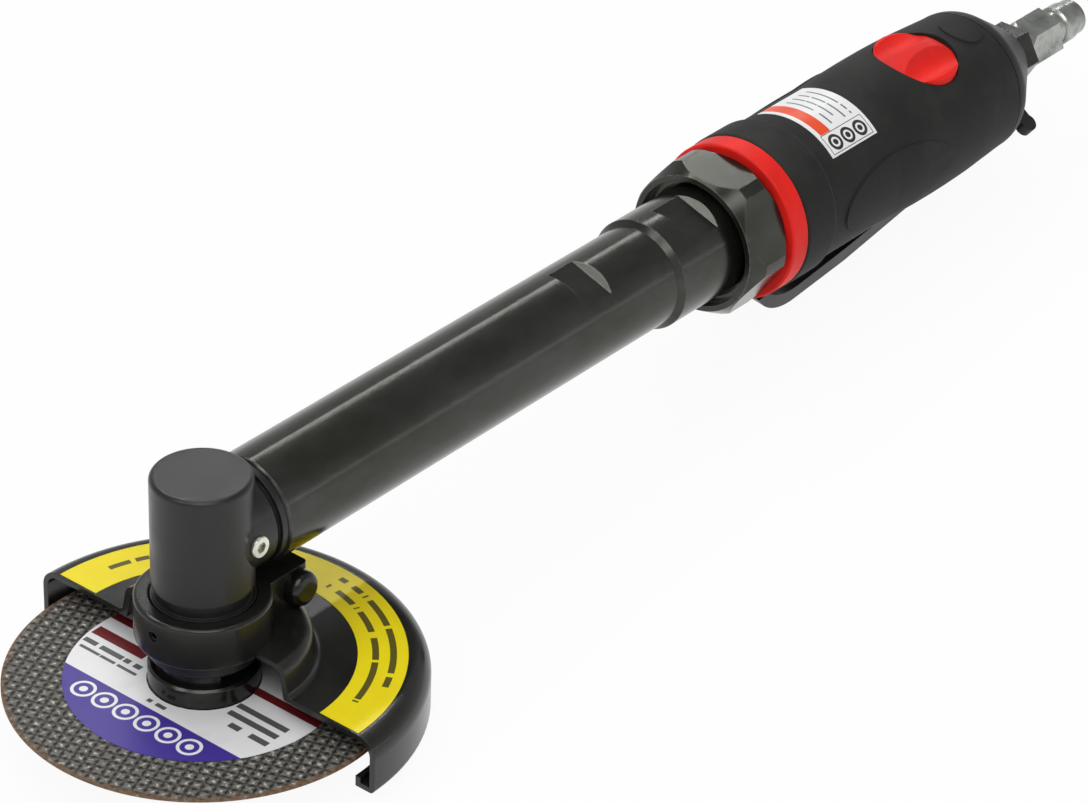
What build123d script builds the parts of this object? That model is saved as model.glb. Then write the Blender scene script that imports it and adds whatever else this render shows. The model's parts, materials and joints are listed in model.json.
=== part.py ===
"""Long-reach pneumatic cut-off tool: angle head with a guarded cutting wheel,
extension tube, and a handle that holds a vane motor.

Frame: the origin is on the spindle axis at the face that the wheel seats on.
+Z runs up along the spindle, +X along the tool from the head to the air inlet.
Heights are along Z, stations are along X, radii are from the axis of the piece.
"""

import os
from math import cos, hypot, radians, sin, tan

from build123d import *

os.makedirs("parts", exist_ok=True)

# ---------------------------------------------------------------- driving sizes
# Axes
tube_rise = 1.6             # lowest line of the tube above the guard's collar
handle_roll = 9.0           # degrees that the handle is clocked towards -Y

# Clearances
running_gap = 0.05          # radial, between pieces that turn in each other
seat_gap = 0.1              # between turned faces that don't carry load
side_gap = 0.3              # beside pieces that swing or slide
film = 0.12                 # thickness of printed labels

# Ball bearings: bore radius, outer radius, width, ball radius
bearing_8 = (4.0, 11.0, 7.0, 1.98)
bearing_6 = (3.0, 9.5, 6.0, 1.75)
ball_count = 7
bearing_rim = 1.75          # thickness of each race at its groove shoulder
bearing_edge = 0.3
ball_gap = 0.03

# Cutting wheel and flanges
wheel_radius = 50.0
wheel_thickness = 0.8
wheel_label_radius = 35.0
flange_pilot_wall = 0.8     # ring of the inner flange that centres the wheel
flange_radius = 14.0
flange_edge = 0.6
inner_flange_height = 5.5
outer_flange_thickness = 2.5
outer_flange_edge = 0.8
flange_recess_radius = 8.5
flange_recess_depth = 0.6
wheel_screw_radius = 2.5
wheel_screw_head_radius = 5.0
wheel_screw_head_height = 3.0
wheel_screw_edge = 1.2
wheel_screw_socket = 4.0    # across flats
wheel_screw_socket_depth = 1.8
wheel_screw_length = 12.0
wheel_screw_run_out = 1.0   # thread beyond the end of the screw

# Spindle
spindle_radius = bearing_8[0]
spindle_collar_radius = 12.0
spindle_collar_height = 3.4
spindle_across_flats = 21.4
spindle_shoulder = 1.5      # against the inner race of its bearing
spindle_edge = 0.5
spindle_end_gap = 0.6       # from the spindle's top to the end of its bush

# Bearing cap, guard collar and neck of the head
neck_wall = 2.0             # round the spindle's bearing
neck_thread_depth = 0.8
cap_gap = 0.3               # between the spindle collar and the cap
cap_overhang = 1.2          # beyond the neck
cap_bore_gap = 3.4          # round the spindle's shoulder
cap_height = 4.4
cap_lip = 1.2
cap_edge = 0.6
collar_wall = 4.2
collar_height = 11.9
collar_slit = 2.4
collar_edge = 1.0
ear_length = 9.8            # from the collar's outside to the end of the clamp ears
ear_half_width = 10.0
ear_bite = 2.0              # the ears start this far inside the neck, to meet the collar
ear_edge = 1.5
clamp_screw_offset = 5.3    # from the collar's outside
clamp_screw_radius = 2.5
clamp_screw_end = 0.8       # beyond its nut
clamp_head_radius = 4.75
clamp_head_height = 4.2
clamp_head_edge = 2.2
clamp_nut_flats = 8.0
clamp_nut_height = 4.0
set_screw_radius = 1.5
set_screw_rise = 1.0        # above the middle of the collar
set_screw_sink = 0.6
set_screw_socket = 1.5      # across flats
set_screw_socket_depth = 1.6
set_screw_angle = 178.0     # degrees about the spindle from +X

# Guard
wheel_gap = 4.5             # from the wheel's rim to the guard's wall
guard_sheet = 1.5
guard_hub_lap = 1.7         # hub's deck above the lower end of the collar
guard_hub_height = 8.3      # hub's deck above the guard's plate
guard_deck_width = 9.2      # from the collar to the edge of the deck
guard_hub_flare = 1.6
guard_drop = 8.2            # below the wheel seat
guard_shoulder = 5.0
guard_lip = 4.5
guard_lip_rise = 3.0
guard_label_margin = 5.7
guard_label_width = 12.5
guard_label_setback = 0.6   # from the guard's cut edge

# Angle head
head_wall = 1.8             # of the barrel, round the spindle's bearing
groove_height = 3.5         # between the guard's collar and the barrel
groove_depth = 1.0
head_rise = 18.0            # top of the barrel above the tool axis
head_edge = 1.4
gear_chamber_radius = 9.5
boss_wall = 2.2             # round the pinion's bearing
boss_length = 13.0
boss_edge = 0.5
boss_root_step = 0.8        # narrower where the boss grows out of the barrel
boss_root_length = 5.0
boss_groove = 1.0
boss_groove_depth = 0.7
boss_ring_step = 0.5
boss_ring_length = 2.0
pinion_chamber_radius = 7.8
pinion_race_inset = 3.2     # from the end of the boss back to the pinion's bearing
grease_fitting_x = 6.0
grease_thread_radius = 2.2
grease_thread_inset = 1.0   # from the chamber
grease_flange_radius = 2.9
grease_flange_height = 1.0
grease_flange_edge = 0.3
grease_spot_depth = 0.2
grease_spot_height = 2.0
grease_socket = 2.6         # across flats
grease_socket_depth = 1.6
grease_hole_radius = 0.6
upper_bush_wall = 2.45
upper_bush_length = 7.0
upper_bush_rise = 8.0       # above the tool axis

# Bevel gears, straight teeth on axes at 90 degrees
gear_module = 1.0
gear_teeth = 16
pinion_teeth = 12
face_width = 3.4
addendum = 0.62
dedendum = 1.05
tooth_foot = 0.2            # sunk into the root cone
tooth_half_thickness = 0.52
pressure_angle = 20.0
gear_back = 1.2             # length of the back cone
gear_hub_radius = 6.0
gear_hub_gap = 0.2          # above the spindle's bearing
pinion_hub_radius = 5.4

# Extension tube and coupling sleeve
socket_wall = 1.4           # of the head's spigot, round the pinion's bearing
tube_socket_wall = 2.0
tube_socket_depth = 12.0
tube_length = 152.0
tube_edge = 0.5
tube_tail_step = 1.6
tube_tail_wall = 2.0
tube_tail_length = 20.0
tube_flat_setback = 34.5    # from the shoulder of the tail to the wrench flats
tube_flat_length = 10.2
tube_flat_depth = 1.9
sleeve_wall = 3.0
sleeve_length = 35.5
sleeve_edge = 1.6
sleeve_flat_offset = 8.7
sleeve_flat_length = 11.5
sleeve_flat_depth = 1.75
flat_run_out = 1.5          # length over which the rear end of a flat slopes out
flat_angle = 18.0           # degrees from +Z towards -Y, normal of the wrench flats
steady_bush_station = 92.0
steady_bush_length = 9.0
steady_bush_hole_radius = 1.5
steady_bush_hole_count = 6

# Clamp nut
nut_lead = 11.5             # ahead of the housing's nose
nut_lip_gap = 0.8           # round the sleeve
nut_lip_width = 1.2
nut_lip = 3.6
nut_wall = 2.4              # outside the thread, across flats
nut_corner_wall = 4.6       # outside the thread, at the turned corners
nut_chamfer = 4.5
nut_rear_chamfer = 3.2
nut_face_inset = 0.3        # of the front face inside the flats
nut_mouth_step = 0.5        # outside the thread
nut_mouth_depth = 3.0
nut_angle = 5.0             # degrees that a corner is turned from the horizontal

# Motor housing
nose_wall = 1.4             # of the threaded nose, round the motor stack
nose_length = 4.5
housing_step = 1.2          # outside the thread
stack_length = 60.5
rear_block_length = 54.0
passage_radius = 3.5
inlet_thread_radius = 6.6
inlet_thread_depth = 18.0
inlet_wall = 1.8
inlet_boss_length = 21.0
exhaust_port_radius = 2.2
exhaust_port_rim = 0.2      # inside the motor stack's outside
exhaust_port_count = 3      # on each side of the handle
exhaust_port_spread = 25.0  # degrees either way from the handle's side

# Motor
retainer_length = 2.5
retainer_width = 4.5
front_plate_length = 9.0
rear_plate_length = 8.0
race_wall = 1.0             # of each plate, between its bearing and the rotor
plate_bore_gap = 0.5        # round the rotor's shoulder
rear_plate_bore_radius = 5.0
liner_wall = 3.5
liner_offset = 1.4
rotor_tip_gap = 0.1
rotor_shoulder = 1.5        # against the inner race of the front bearing
rotor_end_gap = 0.15
rotor_rear_inset = 0.3      # from the end of the rear bearing
vane_count = 5
vane_thickness = 1.6
vane_depth = 5.5
vane_gap = 0.05             # on each side of a vane
vane_slot_floor = 0.2       # under a vane
liner_slot_inset = 10.0     # from each end of the cylinder
liner_slot_width = 2.0
liner_slot_count = 3
port_angle = 40.0           # from the middle exhaust slot to those beside it

# Drive line
drive_shaft_radius = 3.5
pinion_socket_radius = 2.5
pinion_socket_depth = 8.0
pinion_socket_gap = 0.3     # beyond the end of the drive shaft's spigot
pinion_tail_length = 5.2    # beyond its bearing
coupling_radius = 7.0
coupling_length = 16.0
coupling_lead = 17.5        # ahead of the housing's nose
lock_ring_width = 3.0
lock_ring_length = 3.0
journal_nut_radius = 6.3
journal_nut_length = 2.0

# Grip and ring, as walls outside the housing
ring_wall = 3.8
ring_length = 6.5
ring_edge = 0.8
ring_rear_edge = 0.3
grip_band_wall = 4.1
grip_band_length = 12.0
grip_band_step = 1.8        # length of the slope behind the band
grip_band_edge = 0.8
grip_waist_wall = 3.0
grip_waist_length = 31.5
grip_swell_wall = 3.5
grip_swell_length = 10.0    # over which the waist grows to the swell
grip_tail_wall = 2.4
grip_tail_length = 18.0
grip_pad_rise = 0.5
top_pad_inset = 7.0         # from the rear of the housing
top_pad_half_length = 6.2
top_pad_half_width = 6.5
side_pad_half_length = 25.0
side_pad_half_width = 10.5
side_pad_angle = 84.0       # either way from the top of the handle
grip_relief_wall = 1.4      # left under the housing by the flat above the lever
grip_relief_half_width = 9.6
grip_relief_lead = 4.0      # ahead of the lever's tip
grip_relief_edge = 1.5
grip_slot_lead = 8.0        # ahead of the valve
grip_slot_tail = 6.0        # behind the lever's pivot
grip_slot_bite = 4.0        # into the housing's radius
grip_label_offset = 7.0     # behind the band
grip_label_length = 20.5
grip_label_half_angle = 37.0

# Exhaust deflector at the rear of the handle
deflector_step = 2.4        # outside the housing
deflector_wall = 2.2
deflector_rim_length = 2.7
deflector_shoulder_edge = 6.0
deflector_collar_wall = 1.6
deflector_collar_edge = 1.2
deflector_tab_offset = 12.2
deflector_tab_rise = 1.8    # beyond the rim
deflector_tab_radius = 2.6
deflector_tab_width = 3.4
deflector_tab_angle = 128.0  # from +Z towards -Y
deflector_slot_count = 5
deflector_slot_pitch = 14.0
deflector_slot_offset = 7.7
deflector_slot_length = 5.0
deflector_slot_width = 2.0
deflector_slot_depth = 14.0  # radial, through the cone's wall
muffler_gap = 1.7           # inside the deflector's wall
muffler_setback = 0.2
muffler_rim_length = 3.0
muffler_length = 8.0
muffler_taper = 5.5

# Air inlet
bushing_hex_flats = 16.4
bushing_hex_length = 7.0
bushing_edge = 0.5
bushing_bore_radius = 4.4
plug_thread_length = 7.0
plug_hex_flats = 14.2
plug_hex_length = 15.0
plug_hex_turn = 15.0        # degrees
plug_hex_bevel = 3.0        # turned front of the hexagon
plug_seat_radius = 6.8
plug_neck_radius = 5.2
plug_neck_length = 5.3
plug_collar_radius = 6.0
plug_collar_length = 5.2
plug_collar_edge = 0.6
plug_nose_step = 0.5        # inside the collar
plug_nose_length = 5.0
plug_nose_edge = 0.8
plug_bore_radius = 2.6
strainer_length = 9.0
strainer_tip_radius = 3.2
strainer_wall = 1.6
strainer_rim = 2.0
strainer_rim_wall = 2.2
strainer_inner_rim = 1.2

# Throttle lever and valve
pivot_inset = 12.0          # from the rear of the housing
pivot_drop = 3.3            # below the housing
pivot_pin_radius = 1.5
pivot_lug_half_width = 3.2
pivot_lug_radius = 3.0
lever_half_width = 8.0
lever_length = 85.5         # from the pivot to the tip
lever_low_offset = 17.5     # from the tip to the lowest line
lever_low_drop = 14.0       # lowest line below the pivot
lever_knee_offset = 41.5
lever_knee_drop = 11.1
lever_heel_lead = 14.0      # ahead of the pivot
lever_heel_drop = 5.1
lever_tip_drop = 5.9
lever_thickness = 4.6
lever_heel_thickness = 3.8
lever_tip_thickness = 3.6
lever_tip_bow = 6.5         # of the turned-up end, outside
lever_tip_belly = 1.6
lever_inner_bow = 9.5       # the same, inside
lever_inner_belly = 1.7
fork_lead = 7.5             # clear of the lug, ahead of the pivot
fork_tail = 6.0
fork_half_height = 10.0
valve_lead = 23.0           # ahead of the pivot
valve_bore_radius = 4.5
valve_bore_top = 1.5        # closed end of the valve bore below the tool axis
valve_bushing_top = 8.0
valve_bushing_flange_radius = 6.0
valve_bushing_flange = 1.2
valve_stem_radius = 2.0
valve_stem_edge = 1.0
valve_stem_gap = 0.55       # from the stem's end to the lever at rest
valve_head_radius = 3.4
valve_head_height = 2.2
valve_spring_wire = 0.35
valve_spring_radius = 2.9
valve_spring_turns = 3.0
valve_spring_gap = 0.25     # at the closed end of the bore
valve_spring_play = 0.7     # at the valve's head, which tilts against the squeezed coil
seal_section = 0.65
seal_drop = 4.0             # below the knob's seat

# Power regulator
knob_inset = 28.7           # from the rear of the housing
knob_radius = 12.2
knob_sink = 1.8             # seat below the housing's outside
knob_rim_rise = 2.0         # above the housing's outside
knob_rise = 3.4             # of the crown above the rim
knob_gap = 0.25
knob_scoop_radius = 6.5
knob_scoop_offset = 7.3     # from the middle of the ridge to the deepest line of a scoop
knob_scoop_sink = 0.4       # deepest line of a scoop below the rim
regulator_stem_radius = 6.0
regulator_stem_base = 4.6

# ---------------------------------------------------------------- worked out
# Radii, from the bearings outwards
wheel_bore_radius = spindle_radius + flange_pilot_wall
spindle_shoulder_radius = spindle_radius + spindle_shoulder
neck_radius = bearing_8[1] + neck_wall
neck_thread_radius = neck_radius - neck_thread_depth
cap_radius = neck_radius + cap_overhang
collar_radius = neck_radius + collar_wall
ear_reach = collar_radius + ear_length
clamp_screw_x = collar_radius + clamp_screw_offset
guard_radius = wheel_radius + wheel_gap + guard_sheet
guard_hub_radius = collar_radius + guard_deck_width
guard_label_outer = guard_radius - guard_label_margin
guard_label_inner = guard_label_outer - guard_label_width
head_radius = bearing_8[1] + head_wall
groove_radius = neck_radius - groove_depth
boss_radius = bearing_8[1] + boss_wall
boss_root_radius = boss_radius - boss_root_step
boss_groove_radius = boss_radius - boss_groove_depth
boss_ring_radius = boss_radius + boss_ring_step
upper_bush_radius = spindle_radius + running_gap + upper_bush_wall
tube_socket_radius = bearing_8[1] + socket_wall
tube_radius = tube_socket_radius + tube_socket_wall
tube_tail_radius = tube_radius - tube_tail_step
tube_bore_radius = tube_tail_radius - tube_tail_wall
sleeve_radius = tube_tail_radius + sleeve_wall
nut_lip_radius = sleeve_radius + nut_lip_gap
thread_radius = nut_lip_radius + nut_lip_width  # clamp nut on the housing's nose
nut_mouth_radius = thread_radius + nut_mouth_step
nut_across_flats = 2 * (thread_radius + nut_wall)
nut_corner_radius = thread_radius + nut_corner_wall
stack_radius = thread_radius - nose_wall    # bore that holds the motor stack
housing_radius = thread_radius + housing_step
inlet_boss_radius = inlet_thread_radius + inlet_wall
exhaust_port_circle = stack_radius - exhaust_port_rim - exhaust_port_radius
liner_bore_radius = stack_radius - liner_wall
rotor_radius = liner_bore_radius - liner_offset - rotor_tip_gap
rotor_shoulder_radius = bearing_8[0] + rotor_shoulder
rotor_front_radius = bearing_8[0]
rotor_rear_radius = bearing_6[0]
pinion_journal_radius = bearing_8[0]
lock_ring_bore_radius = bearing_8[1] - lock_ring_width
ring_radius = housing_radius + ring_wall
grip_band_radius = housing_radius + grip_band_wall
grip_waist_radius = housing_radius + grip_waist_wall
grip_swell_radius = housing_radius + grip_swell_wall
grip_tail_radius = housing_radius + grip_tail_wall
grip_relief_depth = housing_radius + grip_relief_wall
deflector_radius = housing_radius + deflector_step
deflector_end_radius = inlet_boss_radius + deflector_collar_wall
deflector_tab_reach = deflector_radius + deflector_tab_rise
muffler_radius = deflector_radius - deflector_wall - muffler_gap
plug_nose_radius = plug_collar_radius - plug_nose_step
plug_corner_radius = plug_hex_flats / 2 / cos(radians(30))

# Heights along the spindle, from the wheel seat
collar_top = inner_flange_height + spindle_collar_height
cap_base = collar_top + cap_gap
cap_top = cap_base + cap_height
race_base = cap_base + cap_lip
band_base = cap_top + seat_gap
band_top = band_base + collar_height
guard_hub_top = band_base + guard_hub_lap
guard_plate_top = guard_hub_top - guard_hub_height
clamp_screw_z = (guard_hub_top + band_top) / 2
axis_height = band_top + tube_rise + tube_radius
head_base = band_top + groove_height
head_top = axis_height + head_rise
upper_bush_base = axis_height + upper_bush_rise
spindle_top = upper_bush_base + upper_bush_length - spindle_end_gap
wheel_bottom = -wheel_thickness
outer_flange_bottom = wheel_bottom - outer_flange_thickness

# Stations along the tool axis
pinion_race = boss_length - pinion_race_inset
lock_ring_front = pinion_race + bearing_8[2]
pinion_tail = lock_ring_front + pinion_tail_length
tube_front = boss_length + boss_groove + boss_ring_length
tube_end = tube_front + tube_length
tube_flat_start = tube_end - tube_flat_setback
sleeve_flat_start = tube_end + sleeve_flat_offset
sleeve_end = tube_end + sleeve_length
housing_nose = sleeve_end
nut_front = housing_nose - nut_lead
sleeve_flange_front = nut_front + nut_mouth_depth + nut_lip
ring_front = housing_nose + nose_length
nut_end = ring_front
coupling_station = housing_nose - coupling_lead
stack_front = housing_nose
stack_end = stack_front + stack_length
housing_end = stack_end + rear_block_length
inlet_boss_end = housing_end + inlet_boss_length
front_plate_front = stack_front + retainer_length
liner_front = front_plate_front + front_plate_length
liner_end = stack_end - rear_plate_length
front_race = liner_front - race_wall - bearing_8[2]
rear_race = liner_end + race_wall
rotor_nose = coupling_station + coupling_length / 2
ring_end = ring_front + ring_length
grip_band_end = ring_end + grip_band_length
grip_waist_end = grip_band_end + grip_waist_length
grip_swell_start = grip_waist_end + grip_swell_length
grip_tail_start = housing_end - grip_tail_length
grip_label_start = grip_band_end + grip_label_offset
top_pad_x = housing_end - top_pad_inset
side_pad_x = grip_waist_end
deflector_front = housing_end + side_gap
deflector_shoulder = deflector_front + deflector_rim_length
deflector_tab_x = deflector_front + deflector_tab_offset
deflector_slot_front = deflector_front + deflector_slot_offset
deflector_end = inlet_boss_end - side_gap
bushing_hex_end = inlet_boss_end + bushing_hex_length
plug_front = bushing_hex_end - plug_thread_length
plug_hex_end = bushing_hex_end + plug_hex_length
plug_neck_end = plug_hex_end + plug_neck_length
plug_collar_end = plug_neck_end + plug_collar_length
plug_end = plug_collar_end + plug_nose_length

# The lever, its valve and the knob, in the handle's own upright plane
pivot_x = housing_end - pivot_inset
pivot_depth = housing_radius + pivot_drop    # depths are below the tool axis
lever_tip_x = pivot_x - lever_length
lever_low_x = lever_tip_x + lever_low_offset
lever_knee_x = lever_tip_x + lever_knee_offset
lever_heel_x = pivot_x - lever_heel_lead
lever_depth = pivot_depth + lever_low_drop
lever_knee_depth = pivot_depth + lever_knee_drop
lever_heel_depth = pivot_depth + lever_heel_drop
lever_tip_depth = pivot_depth + lever_tip_drop
valve_x = pivot_x - valve_lead
knob_x = housing_end - knob_inset
knob_base = housing_radius - knob_sink       # heights are above the tool axis
knob_rim = housing_radius + knob_rim_rise
knob_crown = knob_rim + knob_rise

# ------------------------------------------------------------- planes and axes
roll = radians(handle_roll)
side = Vector(0, cos(roll), sin(roll))
up = Vector(0, -sin(roll), cos(roll))
centre = Vector(0, 0, axis_height)
tool_axis = Axis((0, 0, axis_height), (1, 0, 0))

# (x, radius) profiles that are turned about the tool axis
along = Plane(origin=centre, x_dir=(1, 0, 0), z_dir=(0, -1, 0))
# (x, height) profiles in the handle's own upright plane
upright = Plane(origin=centre, x_dir=(1, 0, 0), z_dir=-side)


def across(x, angle=0.0):
    """Section plane at station x; its up direction leans towards -Y by angle."""
    lean = radians(angle)
    return Plane(origin=(x, 0, axis_height), x_dir=(0, cos(lean), sin(lean)), z_dir=(1, 0, 0))


def level(height):
    """Plane across the handle's own vertical, at a height from the tool axis."""
    return Plane(origin=centre + up * height, x_dir=(1, 0, 0), z_dir=up)


def box_profile(x0, x1, y0, y1):
    """Corner points of a rectangle."""
    return ((x0, y0), (x1, y0), (x1, y1), (x0, y1))


def near(shapes, x, y):
    """The vertex that lies nearest to a point of the sketch."""
    return shapes.sort_by_distance((x, y))[0]


def write(part, label):
    """Label a finished piece and write it as its own STEP file."""
    part.label = label
    export_step(part, f"parts/{label}.step")

# --------------------------------------------------------------- cutting wheel
with BuildPart() as cutting_wheel:
    with BuildSketch(Plane.XY.offset(wheel_bottom)):
        Circle(wheel_radius)
        Circle(wheel_bore_radius, mode=Mode.SUBTRACT)
    extrude(amount=wheel_thickness)
write(cutting_wheel.part, "cutting_wheel")

with BuildPart() as wheel_label:
    with BuildSketch(Plane.XY):
        Circle(wheel_label_radius)
        Circle(flange_radius + side_gap, mode=Mode.SUBTRACT)
    extrude(amount=film)
write(wheel_label.part, "wheel_label")

with BuildPart() as wheel_flange_inner:
    with BuildSketch(Plane.XZ):
        Polygon(
            (spindle_radius + running_gap, wheel_bottom + seat_gap),
            (wheel_bore_radius - running_gap, wheel_bottom + seat_gap),
            (wheel_bore_radius - running_gap, flange_recess_depth),
            (flange_recess_radius, flange_recess_depth),
            (flange_recess_radius, 0),
            (flange_radius, 0),
            (flange_radius, inner_flange_height),
            (spindle_radius + running_gap, inner_flange_height),
            align=None,
        )
        chamfer(near(vertices(), flange_radius, inner_flange_height), length=flange_edge)
    revolve(axis=Axis.Z)
write(wheel_flange_inner.part, "wheel_flange_inner")

with BuildPart() as wheel_flange_outer:
    with BuildSketch(Plane.XZ):
        Polygon(
            *box_profile(wheel_screw_radius + seat_gap, flange_radius, outer_flange_bottom, wheel_bottom),
            align=None,
        )
        Polygon(
            *box_profile(0, flange_recess_radius, wheel_bottom - flange_recess_depth, wheel_bottom),
            align=None,
            mode=Mode.SUBTRACT,
        )
        chamfer(near(vertices(), flange_radius, outer_flange_bottom), length=outer_flange_edge)
    revolve(axis=Axis.Z)
write(wheel_flange_outer.part, "wheel_flange_outer")

with BuildPart() as wheel_screw:
    screw_bottom = outer_flange_bottom - wheel_screw_head_height
    with BuildSketch(Plane.XZ):
        Polygon(
            (0, screw_bottom),
            (wheel_screw_head_radius, screw_bottom),
            (wheel_screw_head_radius, outer_flange_bottom),
            (wheel_screw_radius, outer_flange_bottom),
            (wheel_screw_radius, outer_flange_bottom + wheel_screw_length),
            (0, outer_flange_bottom + wheel_screw_length),
            align=None,
        )
        fillet(near(vertices(), wheel_screw_head_radius, screw_bottom), radius=wheel_screw_edge)
    revolve(axis=Axis.Z)
    with BuildSketch(Plane.XY.offset(screw_bottom)):
        RegularPolygon(wheel_screw_socket / 2, 6, major_radius=False)
    extrude(amount=wheel_screw_socket_depth, mode=Mode.SUBTRACT)
write(wheel_screw.part, "wheel_screw")

# --------------------------------------------------------------------- spindle
with BuildPart() as spindle:
    with BuildSketch(Plane.XZ):
        Polygon(
            (0, wheel_bottom + 2 * seat_gap),
            (spindle_radius, wheel_bottom + 2 * seat_gap),
            (spindle_radius, inner_flange_height),
            (spindle_collar_radius, inner_flange_height),
            (spindle_collar_radius, collar_top),
            (spindle_shoulder_radius, collar_top),
            (spindle_shoulder_radius, race_base),
            (spindle_radius, race_base),
            (spindle_radius, spindle_top),
            (0, spindle_top),
            align=None,
        )
        chamfer(near(vertices(), spindle_radius, spindle_top), length=spindle_edge)
    revolve(axis=Axis.Z)
    # Two wrench flats on the collar
    with BuildSketch(Plane.XY.offset(inner_flange_height)):
        with PolarLocations((spindle_across_flats + spindle_collar_radius) / 2, 2, start_angle=90):
            Rectangle(spindle_collar_radius, 2 * spindle_collar_radius)
    extrude(amount=spindle_collar_height, mode=Mode.SUBTRACT)
    # Thread for the wheel screw
    with BuildSketch(Plane.XY.offset(wheel_bottom)):
        Circle(wheel_screw_radius)
    extrude(amount=wheel_screw_length - outer_flange_thickness + wheel_screw_run_out, mode=Mode.SUBTRACT)
write(spindle.part, "spindle")


# ---------------------------------------------------------------- bevel gears
def bevel_tooth(teeth, mate):
    """One tooth of a bevel wheel below its apex, which is at the origin."""
    pitch, drop = gear_module * teeth / 2, gear_module * mate / 2
    cone = hypot(pitch, drop)
    element = Vector(pitch, 0, -drop) / cone
    slope = tan(radians(pressure_angle))
    tip = tooth_half_thickness - addendum * slope
    root = tooth_half_thickness + dedendum * slope
    with BuildPart() as tooth:
        for reach in (cone, cone - face_width):
            scale_down = reach / cone
            with BuildSketch(Plane(origin=element * reach, x_dir=(0, 1, 0), z_dir=element)):
                Polygon(
                    (-root * scale_down, -(dedendum + tooth_foot) * scale_down),
                    (root * scale_down, -(dedendum + tooth_foot) * scale_down),
                    (tip * scale_down, addendum * scale_down),
                    (-tip * scale_down, addendum * scale_down),
                    align=None,
                )
        loft(ruled=True)
    return tooth.part


def bevel_body(teeth, mate, bore, hub_radius, hub_depth):
    """Root cone and hub of a bevel wheel below its apex."""
    pitch, drop = gear_module * teeth / 2, gear_module * mate / 2
    cone = hypot(pitch, drop)
    along_x, along_z = pitch / cone, -drop / cone
    shrink = (cone - face_width) / cone
    root_r, root_z = pitch + dedendum * along_z, -drop - dedendum * along_x
    back_r, back_z = root_r + gear_back * along_z, root_z - gear_back * along_x
    with BuildPart() as body:
        with BuildSketch(Plane.XZ):
            Polygon(
                (bore, root_z * shrink),
                (root_r * shrink, root_z * shrink),
                (root_r, root_z),
                (back_r, back_z),
                (hub_radius, back_z),
                (hub_radius, -hub_depth),
                (bore, -hub_depth),
                align=None,
            )
        revolve(axis=Axis.Z)
    return body.part


gear_hub_depth = axis_height - race_base - bearing_8[2] - gear_hub_gap
with BuildPart() as bevel_gear:
    gear_tooth = bevel_tooth(gear_teeth, pinion_teeth)
    gear_root = bevel_body(gear_teeth, pinion_teeth, spindle_radius, gear_hub_radius, gear_hub_depth)
    with Locations(centre):
        add(gear_root)
        with PolarLocations(0, gear_teeth):
            add(gear_tooth)
write(bevel_gear.part, "bevel_gear")

# The pinion is made the same way and turned so that it points along +X,
# half a tooth out of step with the gear
pinion_place = Plane(origin=centre, x_dir=(0, 0, -1), z_dir=(-1, 0, 0))
with BuildPart() as bevel_pinion:
    pinion_tooth = bevel_tooth(pinion_teeth, gear_teeth)
    pinion_root = bevel_body(pinion_teeth, gear_teeth, 0, pinion_hub_radius, pinion_race)
    with Locations(pinion_place.location):
        add(pinion_root)
        with PolarLocations(0, pinion_teeth, start_angle=180 / pinion_teeth):
            add(pinion_tooth)
    with BuildSketch(across(pinion_race)):
        Circle(pinion_journal_radius)
    extrude(amount=pinion_tail - pinion_race)
    with BuildSketch(across(pinion_tail)):
        Circle(pinion_socket_radius)
    extrude(amount=-pinion_socket_depth, mode=Mode.SUBTRACT)
write(bevel_pinion.part, "bevel_pinion")


# ------------------------------------------------------------- ball bearings
def ball_circle(size):
    """Radius of the circle on which a bearing's balls run."""
    return (size[0] + size[1]) / 2


def bearing_race(size, outer):
    """One race of a bearing about Z, from z = 0 to its width."""
    bore, rim, width, _ = size
    inner_edge = rim - bearing_rim if outer else bore
    outer_edge = rim if outer else bore + bearing_rim
    with BuildPart() as race:
        with BuildSketch(Plane.XZ):
            Polygon(*box_profile(inner_edge, outer_edge, 0, width), align=None)
            chamfer(vertices(), length=bearing_edge)
            with Locations((ball_circle(size), width / 2)):
                Circle((rim - bore) / 2 - bearing_rim + groove_depth(size), mode=Mode.SUBTRACT)
        revolve(axis=Axis.Z)
    return race.part


def groove_depth(size):
    """How far the ball groove cuts into each race."""
    return size[3] + ball_gap - (size[1] - size[0]) / 2 + bearing_rim


def bearing_balls(size):
    """The balls of a bearing about Z."""
    with BuildPart() as balls:
        with Locations((0, 0, size[2] / 2)):
            with PolarLocations(ball_circle(size), ball_count):
                Sphere(size[3])
    return balls.part


def place(part, plane, label):
    """Write a piece that is made at the origin, moved to its plane."""
    write(plane.location * part, label)


spindle_race = Plane.XY.offset(race_base)
bearings = (
    ("spindle_bearing", bearing_8, spindle_race),
    ("pinion_bearing", bearing_8, across(pinion_race)),
    ("motor_front_bearing", bearing_8, across(front_race)),
    ("motor_rear_bearing", bearing_6, across(rear_race)),
)
for name, size, plane in bearings:
    place(bearing_race(size, outer=True), plane, f"{name}_outer_race")
    place(bearing_race(size, outer=False), plane, f"{name}_inner_race")
    place(bearing_balls(size), plane, f"{name}_balls")

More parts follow.
